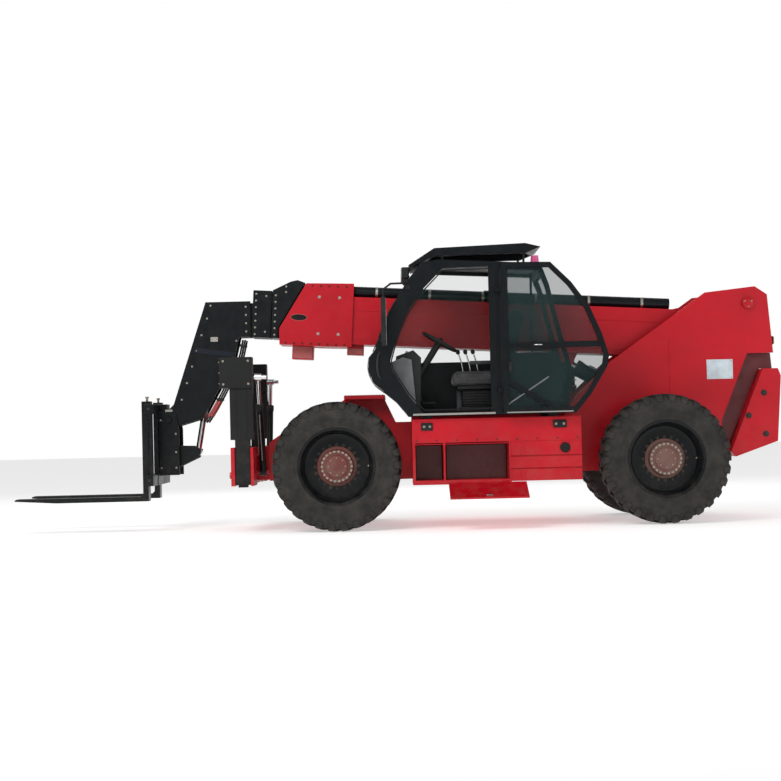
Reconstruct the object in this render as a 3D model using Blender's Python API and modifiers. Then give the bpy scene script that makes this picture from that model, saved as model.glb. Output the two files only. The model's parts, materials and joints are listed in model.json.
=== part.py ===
"""Telehandler: a four-wheel machine with a side cab and a four-section telescopic boom.

Metres, +X forward, +Y to the machine's left (the cab side), +Z up.
Shapes are laid out from the middle of the wheelbase, and the machine empty moves
them so that X = 0 is half way between the fork tips and the counterweight.
"""

import math

import bmesh
import bpy
from mathutils import Matrix, Vector

# ---------------------------------------------------------------- driving dimensions
GAP = 0.0003  # between pieces that touch
PIN_PLAY = 0.0004  # round a pin, and at a thrust face

WHEELBASE = 3.40
WHEEL_Y = 1.00
TYRE_RADIUS = 0.675
TYRE_WIDTH = 0.445
BEAD_RADIUS = 0.380
WHEEL_SIDES = 36
HUB_RADIUS = 0.170
HUB_FACE = 0.150
DISC_INNER = -0.010
DISC_THICKNESS = 0.025
KINGPIN_Y = 0.85
KNUCKLE_HALF_HEIGHT = 0.16
YOKE_THICKNESS = 0.04
AXLE_TUBE_RADIUS = 0.095

FRAME_Y = 0.400  # outer faces of the chassis side plates
FRAME_PLATE = 0.025
ARCH_Z = 0.80  # frame edge over the axles

PIVOT_X = -2.74  # boom pivot
PIVOT_Z = 2.31
PIVOT_PIN = 0.050
BOOM_ANGLE = 3.6  # degrees above level when parked
BOOM_TOP = -0.083  # below the pivot, square to the boom
BOOM_HEIGHT = 0.517
BOOM_WIDTH = 0.42
BOOM_WALL = 0.010
SECTION_STEP = 0.070  # each section is this much smaller than the one round it
BOOM_NOSE = 5.03  # from the pivot to the front of the outer section
SECTION_TAIL = 0.95  # from the pivot to the back of section 2
TAIL_STEP = 0.08

LIFT_BASE = (-2.25, 0.90)
LIFT_EYE = (1.90, -0.692)  # along and square to the boom, from its pivot
LIFT_BARREL = 1.55
TILT_TOP = (3.04, 2.07)
TILT_EYE = (3.26, 0.844)
TILT_BARREL = 0.70
CARRIAGE_PIVOT = (3.555, 1.204)

HEAD_INNER = 0.1203  # inner faces of the boom head's plates
HEAD_PLATE = 0.030
EAR_PLATE = 0.025
CARRIAGE_HALF = 0.65
FORK_Y = 0.42
FORK_WIDTH = 0.15
FORK_TIP = 5.18
FORK_HEEL = 3.80
FORK_THICKNESS = 0.05
FORK_BOTTOM = 0.335

LEG_Y = 0.97
LEG_PIN_Z = 0.60
LEG_HALF = 0.065
LEG_TOP = 1.83
LEG_X = (2.56, 2.80)
LEG_FOOT_X = 2.90
LEG_EYE = (0.90, 1.62)  # y, z of the cylinder's pin on the leg
LEG_BASE = (0.42, 0.62)  # y, z of the cylinder's pin on the frame
LEG_CYLINDER_X = 2.515
LEG_BARREL = 0.80

CAB_Y = (0.30, 1.20)
CAB_WALL = 0.045
CAB_FLOOR_Z = 1.17
DOOR_HINGE_X = 0.016
DOOR_THICKNESS = 0.040
DOOR_GAP = 0.005  # between the shut door and the cab side
OPEN_DOOR_GAP = 0.050  # between the folded-back door and the cab side
GLASS = 0.006

BOX_Y = 1.15  # outer face of the side box
BOX_X = (-0.83, 0.915)
BOX_Z = (0.46, 1.14)
SILL_Z = 0.89
TOOLBOX_X = (-0.10, 0.905)
TOOLBOX_DOOR_X = (-0.25, 0.55)
TOOLBOX_DOOR_DEPTH = 0.42
SHEET = 0.020

POD_X = (-0.90, 0.90)
POD_Y = (-1.15, -0.4003)
POD_Z = (0.52, 1.30)
HOOD_TOP = 1.50
MIRROR_REACH = 1.52  # outermost point of the right-hand mirror

REAR_END = -3.06
ORIGIN_X = (FORK_TIP + REAR_END) / 2

AXLE_Z = TYRE_RADIUS * math.cos(math.pi / WHEEL_SIDES)
BOOM_MIDDLE = BOOM_TOP - BOOM_HEIGHT / 2

RED = (0.37, 0.006, 0.012, 1.0)
BLACK = (0.006, 0.009, 0.012, 1.0)
RUBBER = (0.035, 0.034, 0.032, 1.0)
STEEL = (0.60, 0.60, 0.60, 1.0)
TEAL = (0.30, 0.58, 0.51, 1.0)
GREY = (0.12, 0.12, 0.12, 1.0)
SEAT_BLACK = (0.02, 0.02, 0.02, 1.0)
BEACON_RED = (0.51, 0.01, 0.08, 1.0)

# ---------------------------------------------------------------- scene and helpers
for old in list(bpy.data.objects):
    bpy.data.objects.remove(old, do_unlink=True)

parts = bpy.data.collections.new("telehandler")
bpy.context.scene.collection.children.link(parts)
tools = bpy.data.collections.new("cutters")
bpy.context.scene.collection.children.link(tools)

SIDE = Matrix.Rotation(math.pi / 2, 4, "X")  # outline in X and Z, thickness along Y
FRONT = Matrix(((0, 0, 1, 0), (1, 0, 0, 0), (0, 1, 0, 0), (0, 0, 0, 1)))  # Y and Z, along X
PLAN = Matrix.Identity(4)  # X and Y, along Z


def pivot(name, place, turn=(0.0, 0.0, 0.0), parent=None):
    """An empty on a joint's axis, in machine coordinates."""
    empty = bpy.data.objects.new(name, None)
    empty.location = place
    empty.rotation_euler = turn
    empty.parent = parent
    parts.objects.link(empty)
    return empty


machine = pivot("machine", (-ORIGIN_X, 0, 0))


def placed(mesh, name, local=None):
    """A new shape, among the cutters until it becomes a part."""
    shape = bpy.data.objects.new(name, mesh)
    shape.parent = local or machine
    shape.hide_render = True
    shape.display_type = "WIRE"
    tools.objects.link(shape)
    return shape


def from_bmesh(form, name, local=None):
    bmesh.ops.recalc_face_normals(form, faces=form.faces)
    mesh = bpy.data.meshes.new(name)
    form.to_mesh(mesh)
    form.free()
    return placed(mesh, name, local)


def box(x, y, z, local=None):
    """A box between two x, two y and two z values."""
    form = bmesh.new()
    size = Vector((x[1] - x[0], y[1] - y[0], z[1] - z[0]))
    middle = Vector((x[0] + x[1], y[0] + y[1], z[0] + z[1])) / 2
    bmesh.ops.create_cube(form, size=1.0)
    bmesh.ops.scale(form, vec=Vector([abs(side) for side in size]), verts=form.verts)
    bmesh.ops.translate(form, vec=middle, verts=form.verts)
    return from_bmesh(form, "box", local)


def rod(start, end, radius, sides=20, local=None, far_radius=None):
    """A cylinder or cone from start to end."""
    start = Vector(start)
    line = Vector(end) - start
    form = bmesh.new()
    bmesh.ops.create_cone(
        form,
        cap_ends=True,
        segments=sides,
        radius1=radius,
        radius2=radius if far_radius is None else far_radius,
        depth=line.length,
    )
    turn = line.to_track_quat("Z", "Y").to_matrix().to_4x4()
    bmesh.ops.transform(form, matrix=Matrix.Translation(start + line / 2) @ turn, verts=form.verts)
    return from_bmesh(form, "rod", local)


def hole_radius(radius, sides=20, play=PIN_PLAY):
    """Radius of a faceted hole whose flats clear a pin of this radius."""
    return (radius + play) / math.cos(math.pi / sides)


def curve_mesh(curve, matrix, name, local=None):
    """A curve turned into a mesh shape, its caps welded."""
    temporary = bpy.data.objects.new(name, curve)
    bpy.context.scene.collection.objects.link(temporary)
    graph = bpy.context.evaluated_depsgraph_get()
    mesh = bpy.data.meshes.new_from_object(temporary.evaluated_get(graph))
    bpy.data.objects.remove(temporary, do_unlink=True)
    form = bmesh.new()
    form.from_mesh(mesh)
    bmesh.ops.remove_doubles(form, verts=form.verts, dist=1e-5)
    bmesh.ops.transform(form, matrix=matrix, verts=form.verts)
    return from_bmesh(form, name, local)


def prism(outline, low, high, plane=SIDE, local=None):
    """A flat outline extruded from low to high square to its plane."""
    curve = bpy.data.curves.new("outline", "CURVE")
    curve.dimensions = "2D"
    curve.fill_mode = "BOTH"
    curve.extrude = abs(high - low) / 2
    spline = curve.splines.new("POLY")
    spline.points.add(len(outline) - 1)
    for point, (across, up) in zip(spline.points, outline):
        point.co = (across, up, 0, 1)
    spline.use_cyclic_u = True
    middle = (low + high) / 2
    along = {"SIDE": (0, middle, 0), "FRONT": (middle, 0, 0), "PLAN": (0, 0, middle)}
    key = "SIDE" if plane is SIDE else "FRONT" if plane is FRONT else "PLAN"
    return curve_mesh(curve, Matrix.Translation(along[key]) @ plane, "prism", local)


def tube(points, radius, local=None, resolution=2, ring=False):
    """A bent round tube through the points, or a ring of them."""
    curve = bpy.data.curves.new("tube", "CURVE")
    curve.dimensions = "3D"
    curve.bevel_depth = radius
    curve.bevel_resolution = resolution
    curve.use_fill_caps = True
    spline = curve.splines.new("POLY")
    spline.points.add(len(points) - 1)
    for point, place in zip(spline.points, points):
        point.co = (*place, 1)
    spline.use_cyclic_u = ring
    return curve_mesh(curve, Matrix.Identity(4), "tube", local)


def turned(profile, local, closed=False):
    """A turned shape round the local Y axis: (radius, distance outboard) from top to bottom."""
    mesh = bpy.data.meshes.new("turned")
    edges = [(i, i + 1) for i in range(len(profile) - 1)]
    if closed:
        edges.append((len(profile) - 1, 0))
    mesh.from_pydata([(radius, 0, height) for radius, height in profile], edges, [])
    shape = placed(mesh, "turned", local)
    facet = Matrix.Rotation(math.pi / WHEEL_SIDES, 4, "Z")
    shape.matrix_basis = Matrix.Rotation(-math.pi / 2, 4, "X") @ facet
    screw = shape.modifiers.new("turn", "SCREW")
    screw.steps = WHEEL_SIDES
    screw.render_steps = WHEEL_SIDES
    screw.use_merge_vertices = True
    screw.merge_threshold = 0.0001
    screw.use_normal_calculate = True
    screw.use_normal_flip = not closed
    return shape


def look(name, colour, roughness, metallic=0.0, alpha=1.0):
    material = bpy.data.materials.get(name) or bpy.data.materials.new(name)
    material.use_nodes = True
    shader = material.node_tree.nodes["Principled BSDF"]
    shader.inputs["Base Color"].default_value = colour
    shader.inputs["Roughness"].default_value = roughness
    shader.inputs["Metallic"].default_value = metallic
    shader.inputs["Alpha"].default_value = alpha
    return material


PAINT = look("red_paint", RED, 0.35)
DARK = look("black_paint", BLACK, 0.4)
TYRE = look("tyre_rubber", RUBBER, 0.85)
CHROME = look("chrome_rod", STEEL, 0.15, 1.0)
GLAZING = look("tinted_glass", TEAL, 0.05, 0.0, 0.35)
PLASTIC = look("grey_plastic", GREY, 0.6)
SEAT = look("seat_vinyl", SEAT_BLACK, 0.7)
LENS = look("beacon_lens", BEACON_RED, 0.2)
CASTING = look("cast_iron", GREY, 0.7)


def part(name, material, shape, joined=(), cut=(), rides=machine, smooth=False):
    """Makes a node of a shape, with others joined to it or cut from it, on a joint's empty."""
    tools.objects.unlink(shape)
    parts.objects.link(shape)
    shape.name = name
    shape.data.name = name
    shape.hide_render = False
    shape.display_type = "TEXTURED"
    shape.data.materials.clear()
    shape.data.materials.append(material)
    for number, other in enumerate(joined):
        combine(shape, other, "UNION", f"join_{number}")
    for number, other in enumerate(cut):
        combine(shape, other, "DIFFERENCE", f"cut_{number}")
    if shape.parent == machine and rides is not machine:
        shape.parent = rides
        shape.matrix_parent_inverse = rides.matrix_basis.inverted()
    if smooth:
        shape.data.shade_smooth()
        shape.data.set_sharp_from_angle(angle=math.radians(35))
    return shape


def combine(shape, other, operation, name):
    """Flush faces are common here, and MANIFOLD closes where EXACT leaves open edges."""
    boolean = shape.modifiers.new(name, "BOOLEAN")
    boolean.operation = operation
    boolean.object = other
    boolean.solver = "MANIFOLD"


def boom_point(along_boom, square, y=0.0):
    """Machine coordinates of a point given along and square to the parked boom."""
    turn = math.radians(BOOM_ANGLE)
    x = PIVOT_X + along_boom * math.cos(turn) - square * math.sin(turn)
    z = PIVOT_Z + along_boom * math.sin(turn) + square * math.cos(turn)
    return Vector((x, y, z))


# ---------------------------------------------------------------- wheels and axles
def tyre_profile():
    half = TYRE_WIDTH / 2
    outer = [
        (BEAD_RADIUS, half - 0.060),
        (BEAD_RADIUS + 0.070, half - 0.018),
        (BEAD_RADIUS + 0.180, half),
        (TYRE_RADIUS - 0.040, half - 0.010),
        (TYRE_RADIUS, half - 0.042),
    ]
    return outer + [(radius, -height) for radius, height in reversed(outer)]


def rim_profile():
    edge = TYRE_WIDTH / 2 - 0.032
    barrel = BEAD_RADIUS - 0.0005
    return [
        (0.0, HUB_FACE),
        (0.115, HUB_FACE - 0.010),
        (HUB_RADIUS, HUB_FACE - 0.030),
        (HUB_RADIUS, DISC_INNER + DISC_THICKNESS),
        (barrel - 0.030, DISC_INNER + DISC_THICKNESS),
        (barrel - 0.012, edge),
        (barrel + 0.020, edge),
        (barrel + 0.020, edge - 0.010),
        (barrel, edge - 0.026),
        (barrel, 0.026 - edge),
        (barrel + 0.020, 0.010 - edge),
        (barrel + 0.020, -edge),
        (barrel - 0.012, -edge),
        (barrel - 0.030, DISC_INNER),
        (0.0, DISC_INNER),
    ]


def knuckle(name, x, side):
    """The steered end of an axle: swivel housing, hub carrier and steering arm."""
    y = side * KINGPIN_Y
    face = side * (WHEEL_Y + DISC_INNER - PIN_PLAY)
    swivel = pivot(f"{name}_kingpin", (x, y, AXLE_Z), parent=machine)
    half = KNUCKLE_HALF_HEIGHT
    housing = rod((x, y, AXLE_Z - half), (x, y, AXLE_Z + half), 0.100)
    carrier = rod((x, y, AXLE_Z), (x, face, AXLE_Z), 0.145)
    arm = box((x, x + math.copysign(0.24, -x)), (y - 0.03, y + 0.03), (AXLE_Z - 0.03, AXLE_Z + 0.03))
    part(name, CASTING, housing, joined=[carrier, arm], rides=swivel)


def wheel(end, side_name, x, side):
    """A rim with its hub, and its tyre, turning about the wheel's own Y axis."""
    turn = (0, 0, 0) if side > 0 else (0, 0, math.pi)
    spin = pivot(f"wheel_{end}_{side_name}_spin", (x, side * WHEEL_Y, AXLE_Z), turn, machine)
    part(f"rim_{end}_{side_name}", DARK, turned(rim_profile(), spin), rides=spin, smooth=True)
    part(f"tyre_{end}_{side_name}", TYRE, turned(tyre_profile(), spin, True), rides=spin, smooth=True)


def axle(name, x):
    """A beam with a differential, frame pads, a steering cylinder and a yoke at each end."""
    tube_end = KINGPIN_Y - 0.16
    beam = rod((x, -tube_end, AXLE_Z), (x, tube_end, AXLE_Z), AXLE_TUBE_RADIUS)
    back = math.copysign(1, x)
    joined = [
        rod((x, -0.20, AXLE_Z), (x, 0.20, AXLE_Z), 0.19, 24),
        rod((x, 0, AXLE_Z), (x - back * 0.30, 0, AXLE_Z), 0.13, 20, far_radius=0.07),
        rod((x + back * 0.17, -0.50, AXLE_Z), (x + back * 0.17, 0.50, AXLE_Z), 0.040, 14),
    ]
    inner = KNUCKLE_HALF_HEIGHT + PIN_PLAY
    outer = inner + YOKE_THICKNESS
    for side in (1, -1):
        ends = sorted((side * (tube_end - 0.03), side * tube_end))
        arm_y = sorted((side * (tube_end - 0.03), side * (KINGPIN_Y + 0.055)))
        pad_y = sorted((side * (FRAME_Y - 0.07), side * (FRAME_Y + 0.02)))
        clamp_y = sorted((side * 0.36, side * 0.42))
        joined.append(box((x - 0.07, x + 0.07), ends, (AXLE_Z - outer, AXLE_Z + outer)))
        joined.append(box((x - 0.055, x + 0.055), arm_y, (AXLE_Z + inner, AXLE_Z + outer)))
        joined.append(box((x - 0.055, x + 0.055), arm_y, (AXLE_Z - outer, AXLE_Z - inner)))
        joined.append(box((x - 0.12, x + 0.12), pad_y, (AXLE_Z, ARCH_Z - GAP)))
        strap = sorted((x, x + back * 0.17))
        joined.append(box(strap, clamp_y, (AXLE_Z - 0.03, AXLE_Z + 0.03)))
    part(name, CASTING, beam, joined=joined)


def running_gear():
    for end, x in (("front", WHEELBASE / 2), ("rear", -WHEELBASE / 2)):
        axle(f"{end}_axle", x)
        for side_name, side in (("left", 1), ("right", -1)):
            knuckle(f"knuckle_{end}_{side_name}", x, side)
            wheel(end, side_name, x, side)


# ---------------------------------------------------------------- chassis
SIDE_PLATE = [
    (2.45, 0.52),
    (2.45, 0.93),
    (2.30, 1.03),
    (1.98, 1.12),
    (1.62, 1.38),
    (1.20, 1.38),
    (1.08, 1.12),
    (-0.72, 1.12),
    (-0.86, 1.36),
    (-1.25, 1.72),
    (-2.28, 2.435),
    (-2.82, 2.49),
    (-2.95, 2.40),
    (-3.00, 1.77),
    (-2.712, 1.77),
    (-2.422, 1.06),
    (-2.392, 0.66),
    (-2.20, 0.62),
    (-2.05, ARCH_Z),
    (-1.35, ARCH_Z),
    (-1.15, 0.55),
    (1.25, 0.50),
    (1.38, ARCH_Z),
    (2.02, ARCH_Z),
    (2.15, 0.52),
]


def leg_mount(side):
    """The beam's end: two ears, the leg's pin and the cylinder's base pin."""
    ear_y = sorted((side * 0.62, side * 1.05))
    step_y = sorted((side * 0.63, side * 0.815))
    pin_y = side * LEG_Y
    base_y = side * LEG_BASE[0]
    return [
        box((2.760, 2.800), ear_y, (0.49, 0.89)),
        box((2.565, 2.595), ear_y, (0.49, 0.89)),
        box((2.585, 2.770), step_y, (0.50, 0.80)),
        rod((2.56, pin_y, LEG_PIN_Z), (2.815, pin_y, LEG_PIN_Z), 0.035),
        rod((2.45, base_y, LEG_BASE[1]), (2.60, base_y, LEG_BASE[1]), 0.025, 16),
    ]


def chassis():
    inner = FRAME_Y - FRAME_PLATE
    left = prism(SIDE_PLATE, inner, FRAME_Y)
    across = (-FRAME_Y + 0.005, FRAME_Y - 0.005)
    joined = [
        prism(SIDE_PLATE, -FRAME_Y, -inner),
        box((-1.10, 1.22), across, (0.56, 0.58)),
        box((1.19, 1.625), (-0.62, 0.62), (1.372, 1.41)),
        box((2.11, 2.44), across, (0.56, 0.60)),
        box((2.38, 2.58), (-0.33, 0.33), (0.53, 0.89)),
        box((2.575, 2.765), (-0.70, 0.70), (0.505, 0.795)),
        prism([(1.9765, 1.1151), (1.6165, 1.3751), (1.6018, 1.3549), (1.9618, 1.0949)], *across),
        prism([(1.960, 1.119), (2.2975, 1.0245), (2.443, 0.9275), (2.4285, 0.9065), (2.290, 1.000), (1.955, 1.096)],
              *across),
        prism([(-2.726, 1.785), (-2.43, 1.06), (-2.40, 0.70), (-2.375, 0.70), (-2.405, 1.06), (-2.701, 1.785)],
              *across),
        prism([(-2.944, 2.395), (-2.9935, 1.782), (-2.9685, 1.782), (-2.919, 2.395)], *across),
        box((-2.98, -2.705), across, (1.775, 1.80)),
        rod((PIVOT_X, -FRAME_Y - 0.02, PIVOT_Z), (PIVOT_X, FRAME_Y + 0.02, PIVOT_Z), PIVOT_PIN, 24),
        rod((LIFT_BASE[0], -inner - 0.01, LIFT_BASE[1]), (LIFT_BASE[0], inner + 0.01, LIFT_BASE[1]), 0.040),
        rod((0.30, -inner - 0.01, 0.95), (0.30, inner + 0.01, 0.95), 0.06),
    ]
    for side in (1, -1):
        head_y = sorted((side * (FRAME_Y - 0.005), side * (FRAME_Y + 0.03)))
        joined.append(rod((PIVOT_X, head_y[0], PIVOT_Z), (PIVOT_X, head_y[1], PIVOT_Z), 0.062, 24))
        joined.extend(leg_mount(side))
    part("chassis_frame", PAINT, left, joined=joined)


def counterweight():
    """A casting behind the tower, with a tongue that bolts to the frame's tail plate."""
    outline = [(-2.86, 1.60), (-3.03, 1.60), (REAR_END, 1.52), (-3.01, 0.82), (-2.55, 0.66), (-2.50, 0.72)]
    tongue = [(-2.4306, 1.06), (-2.5899, 1.45), (-2.90, 1.45), (-2.75, 1.06)]
    block = prism(outline, -0.48, 0.48)
    part("counterweight", PAINT, block, joined=[prism(tongue, -0.30, 0.30)])


# ---------------------------------------------------------------- hinges
HINGE_PIN = 0.006
HINGE_SLEEVE = 0.012
HINGE_HALF = 0.018  # half length of a sleeve
LUG = (0.0190, 0.030)  # a lug's near and far face from the hinge's middle


def spanned(direction, low, high, across, up):
    """A box from low to high along X (0) or Z (2), and across and up in the other two."""
    if direction == 0:
        return box((low, high), across, up)
    return box(across, up, (low, high))


def axis_rod(direction, axis, low, high, radius, sides):
    if direction == 0:
        return rod((low, *axis), (high, *axis), radius, sides)
    return rod((*axis, low), (*axis, high), radius, sides)


def hinge(direction, axis, places, lug, leaf):
    """Pins and lugs for the fixed side, sleeves and leaves for the moving side, and their bores.

    lug and leaf give each piece's reach from the axis in the two other directions.
    """
    fixed, moving, bores = [], [], []
    for place in places:
        low, high = place - LUG[1], place + LUG[1]
        fixed.append(axis_rod(direction, axis, low + 0.004, high - 0.004, HINGE_PIN, 12))
        for start, end in ((low, place - LUG[0]), (place + LUG[0], high)):
            fixed.append(spanned(direction, start, end, *reach(axis, lug)))
        sleeve = (place - HINGE_HALF, place + HINGE_HALF)
        moving.append(axis_rod(direction, axis, *sleeve, HINGE_SLEEVE, 12))
        moving.append(spanned(direction, *sleeve, *reach(axis, leaf)))
        bores.append(axis_rod(direction, axis, low, high, hole_radius(HINGE_PIN, 12), 12))
    return fixed, moving, bores


def reach(axis, offsets):
    return [tuple(centre + offset for offset in pair) for centre, pair in zip(axis, offsets)]


# ---------------------------------------------------------------- side box, tank, toolbox door
TOOLBOX_HINGE = (BOX_Y + 0.015, BOX_Z[0] + 0.012)
TOOLBOX_HINGE_X = (-0.05, 0.42)
TOOLBOX_LUG = ((-0.025, 0.008), (-0.008, 0.008))
TOOLBOX_LEAF = ((0.004, 0.026), (-0.004, 0.006))
TOOLBOX_DROOP = math.radians(20)  # the open door hangs this far below level


def side_box():
    """The sill under the cab and the open toolbox below it, with the door's hinge pins."""
    inner_y = FRAME_Y + GAP
    top = box(BOX_X, (inner_y, BOX_Y), (SILL_Z, BOX_Z[1]))
    shell = box((TOOLBOX_X[0], BOX_X[1]), (inner_y + 0.05, BOX_Y), (BOX_Z[0], SILL_Z + 0.02))
    fixed, _, _ = hinge(0, TOOLBOX_HINGE, TOOLBOX_HINGE_X, TOOLBOX_LUG, TOOLBOX_LEAF)
    hollows = [
        box(x, (inner_y + 0.07, BOX_Y + 0.009), (BOX_Z[0] + 0.045, SILL_Z))
        for x in (TOOLBOX_FRONT, TOOLBOX_MAIN)
    ]
    part("side_box", PAINT, top, joined=[shell] + fixed, cut=hollows)


DIVIDER_X = (0.576, 0.596)
TOOLBOX_FRONT = (DIVIDER_X[1], TOOLBOX_X[1] - SHEET)
TOOLBOX_MAIN = (TOOLBOX_X[0] + SHEET, DIVIDER_X[0])


def fuel_tank():
    """The tank behind the toolbox, with its two step grooves."""
    body = box(
        (BOX_X[0], TOOLBOX_X[0] - GAP),
        (FRAME_Y + 0.05, BOX_Y - 0.005),
        (BOX_Z[0] + 0.02, SILL_Z - GAP),
    )
    grooves = [
        box((BOX_X[0] - 0.01, TOOLBOX_X[0] + 0.01), (BOX_Y - 0.020, BOX_Y), (z, z + 0.014))
        for z in (0.60, 0.73)
    ]
    part("fuel_tank", PAINT, body, cut=grooves)


def toolbox_door():
    """The door that drops open on its lower edge."""
    door_swing = pivot("toolbox_door_hinge", (0, *TOOLBOX_HINGE), parent=machine)
    y, z = TOOLBOX_HINGE
    panel = box(TOOLBOX_DOOR_X, (y + 0.014, y + TOOLBOX_DOOR_DEPTH), (z - 0.008, z + 0.010))
    _, moving, bores = hinge(0, TOOLBOX_HINGE, TOOLBOX_HINGE_X, TOOLBOX_LUG, TOOLBOX_LEAF)
    part("toolbox_door", PAINT, panel, joined=moving, cut=bores, rides=door_swing)
    for piece in moving + bores:
        piece.parent = door_swing
        piece.matrix_parent_inverse = door_swing.matrix_basis.inverted()
    door_swing.rotation_euler.x = -TOOLBOX_DROOP


# ---------------------------------------------------------------- engine side
HOOD_HINGE = (POD_Y[1] - 0.038, HOOD_TOP - 0.012)
HOOD_HINGE_X = (-0.60, 0.60)
HOOD_LUG = ((-0.008, 0.025), (-0.008, 0.008))
HOOD_LEAF = ((-0.030, -0.004), (-0.006, 0.006))


def engine_pod():
    """The open tub beside the frame, with a bulkhead that carries the hood's hinges."""
    bulkhead_y = POD_Y[1] - SHEET
    outline = [
        (POD_Y[0], POD_Z[0]),
        (POD_Y[1], POD_Z[0]),
        (POD_Y[1], HOOD_TOP - 0.002),
        (bulkhead_y, HOOD_TOP - 0.002),
        (bulkhead_y, POD_Z[1]),
        (POD_Y[0], POD_Z[1]),
    ]
    fixed, _, _ = hinge(0, HOOD_HINGE, HOOD_HINGE_X, HOOD_LUG, HOOD_LEAF)
    hollow = box(
        (POD_X[0] + SHEET, POD_X[1] - SHEET),
        (POD_Y[0] + SHEET, bulkhead_y - 0.004),
        (POD_Z[0] + SHEET, POD_Z[1] + 0.1),
    )
    pod = part("engine_pod", PAINT, prism(outline, *POD_X, plane=FRONT), cut=[hollow])
    for number, piece in enumerate(fixed):
        combine(pod, piece, "UNION", f"hinge_{number}")


def engine_hood():
    """The cover over the engine, hinged along its inner top edge."""
    hood_swing = pivot("engine_hood_hinge", (0, *HOOD_HINGE), parent=machine)
    outer_y = (POD_Y[0], POD_Y[1] - 0.050)
    shell = box(POD_X, outer_y, (POD_Z[1] + 0.005, HOOD_TOP))
    hollow = box(
        (POD_X[0] + SHEET, POD_X[1] - SHEET),
        (outer_y[0] + SHEET, outer_y[1] + 0.01),
        (POD_Z[1] - 0.01, HOOD_TOP - SHEET),
    )
    _, moving, bores = hinge(0, HOOD_HINGE, HOOD_HINGE_X, HOOD_LUG, HOOD_LEAF)
    hood = part("engine_hood", PAINT, shell, cut=[hollow], rides=hood_swing)
    for number, piece in enumerate(moving):
        combine(hood, piece, "UNION", f"hinge_{number}")
    for number, piece in enumerate(bores):
        combine(hood, piece, "DIFFERENCE", f"bore_{number}")


def engine_block():
    body = box((-0.55, 0.45), (-0.98, -0.52), (POD_Z[0] + SHEET + GAP, 1.24))
    part("engine_block", CASTING, body)


def exhaust():
    """An upright silencer behind the tub."""
    x = POD_X[0] - 0.050
    can = rod((x, -0.70, 1.10), (x, -0.70, 1.50), 0.045)
    pipe = rod((x, -0.70, 1.48), (x, -0.70, 1.80), 0.028, 16)
    bracket = box((x, POD_X[0] - GAP), (-0.72, -0.68), (1.16, 1.20))
    part("exhaust", CASTING, can, joined=[pipe, bracket], smooth=True)


def mirror_right():
    """A mirror on a bent arm from the front of the engine tub."""
    y = POD_Y[0]
    arm = [
        (0.80, y - 0.012, 1.20),
        (0.80, y - 0.070, 1.24),
        (0.80, y - 0.070, 1.62),
        (0.80, y - 0.100, 1.68),
        (0.80, 0.10 - MIRROR_REACH, 1.69),
    ]
    foot = box((0.77, 0.83), (y - 0.018, y - GAP), (1.17, 1.23))
    head = box((0.775, 0.825), (-MIRROR_REACH, 0.16 - MIRROR_REACH), (1.50, 1.80))
    part("mirror_right", PLASTIC, head, joined=[tube(arm, 0.012), foot])


# ---------------------------------------------------------------- cab
CAB = [
    (-0.68, CAB_FLOOR_Z),
    (-0.76, 1.58),
    (-0.63, 2.07),
    (-0.53, 2.50),
    (-0.45, 2.72),
    (0.605, 2.78),
    (0.78, 2.755),
    (0.92, 2.58),
    (1.10, 2.30),
    (1.21, 2.035),
    (1.28, 1.86),
    (1.34, 1.79),
    (1.35, 1.65),
    (1.30, 1.525),
    (1.19, 1.43),
    (1.065, 1.325),
    (0.94, CAB_FLOOR_Z),
]
DOOR = [
    (0.062, CAB_FLOOR_Z),
    (0.062, 2.73),
    (0.572, 2.72),
    (0.782, 2.51),
    (0.962, 2.26),
    (1.082, 1.98),
    (1.152, 1.75),
    (1.132, 1.64),
    (0.962, 1.36),
    (0.802, CAB_FLOOR_Z),
]
DOOR_UPPER = [(0.112, 1.90), (0.112, 2.68), (0.555, 2.665), (0.74, 2.48), (0.912, 2.24), (1.03, 1.96), (1.045, 1.90)]
DOOR_LOWER = [(0.112, 1.54), (0.112, 1.84), (1.07, 1.84), (1.095, 1.755), (1.08, 1.665), (0.925, 1.395),
              (0.79, 1.235), (0.60, 1.235)]
DOOR_CORNER = [(0.112, 1.235), (0.112, 1.48), (0.52, 1.235)]
QUARTER = [(-0.10, 1.30), (-0.10, 2.66), (-0.42, 2.645), (-0.49, 2.46), (-0.585, 2.05), (-0.70, 1.60), (-0.64, 1.30)]
RIGHT_WINDOW = [(-0.62, 1.75), (-0.585, 2.05), (-0.49, 2.46), (-0.42, 2.645), (0.60, 2.70), (0.735, 2.68),
                (0.86, 2.52), (1.03, 2.25), (1.14, 1.98), (1.20, 1.75)]
WINDSCREEN_Z = (1.24, 2.66)
REAR_WINDOW_Z = (1.70, 2.60)
DOOR_HINGE = (DOOR_HINGE_X, CAB_Y[1] + (DOOR_GAP + OPEN_DOOR_GAP) / 2 + DOOR_THICKNESS / 2)
DOOR_HINGE_Z = (1.42, 2.45)
DOOR_LUG = ((-0.008, 0.008), (-0.060, 0.008))


def inset(outline, distance):
    """The outline with every side moved inwards by this distance."""
    area = sum(a[0] * b[1] - b[0] * a[1] for a, b in zip(outline, outline[1:] + outline[:1]))
    sign = 1 if area > 0 else -1
    corners = []
    for before, here, after in zip(outline[-1:] + outline[:-1], outline, outline[1:] + outline[:1]):
        first = (Vector(here) - Vector(before)).normalized()
        second = (Vector(after) - Vector(here)).normalized()
        normal = Vector((-first.y, first.x)) * sign
        other = Vector((-second.y, second.x)) * sign
        corner = Vector(here) + (normal + other) * distance / (1 + normal.dot(other))
        corners.append((corner.x, corner.y))
    return corners


def open_door(outline):
    """A closed-door outline turned half round the hinge to where the open door lies."""
    return [(2 * DOOR_HINGE_X - x, z) for x, z in outline]


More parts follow.
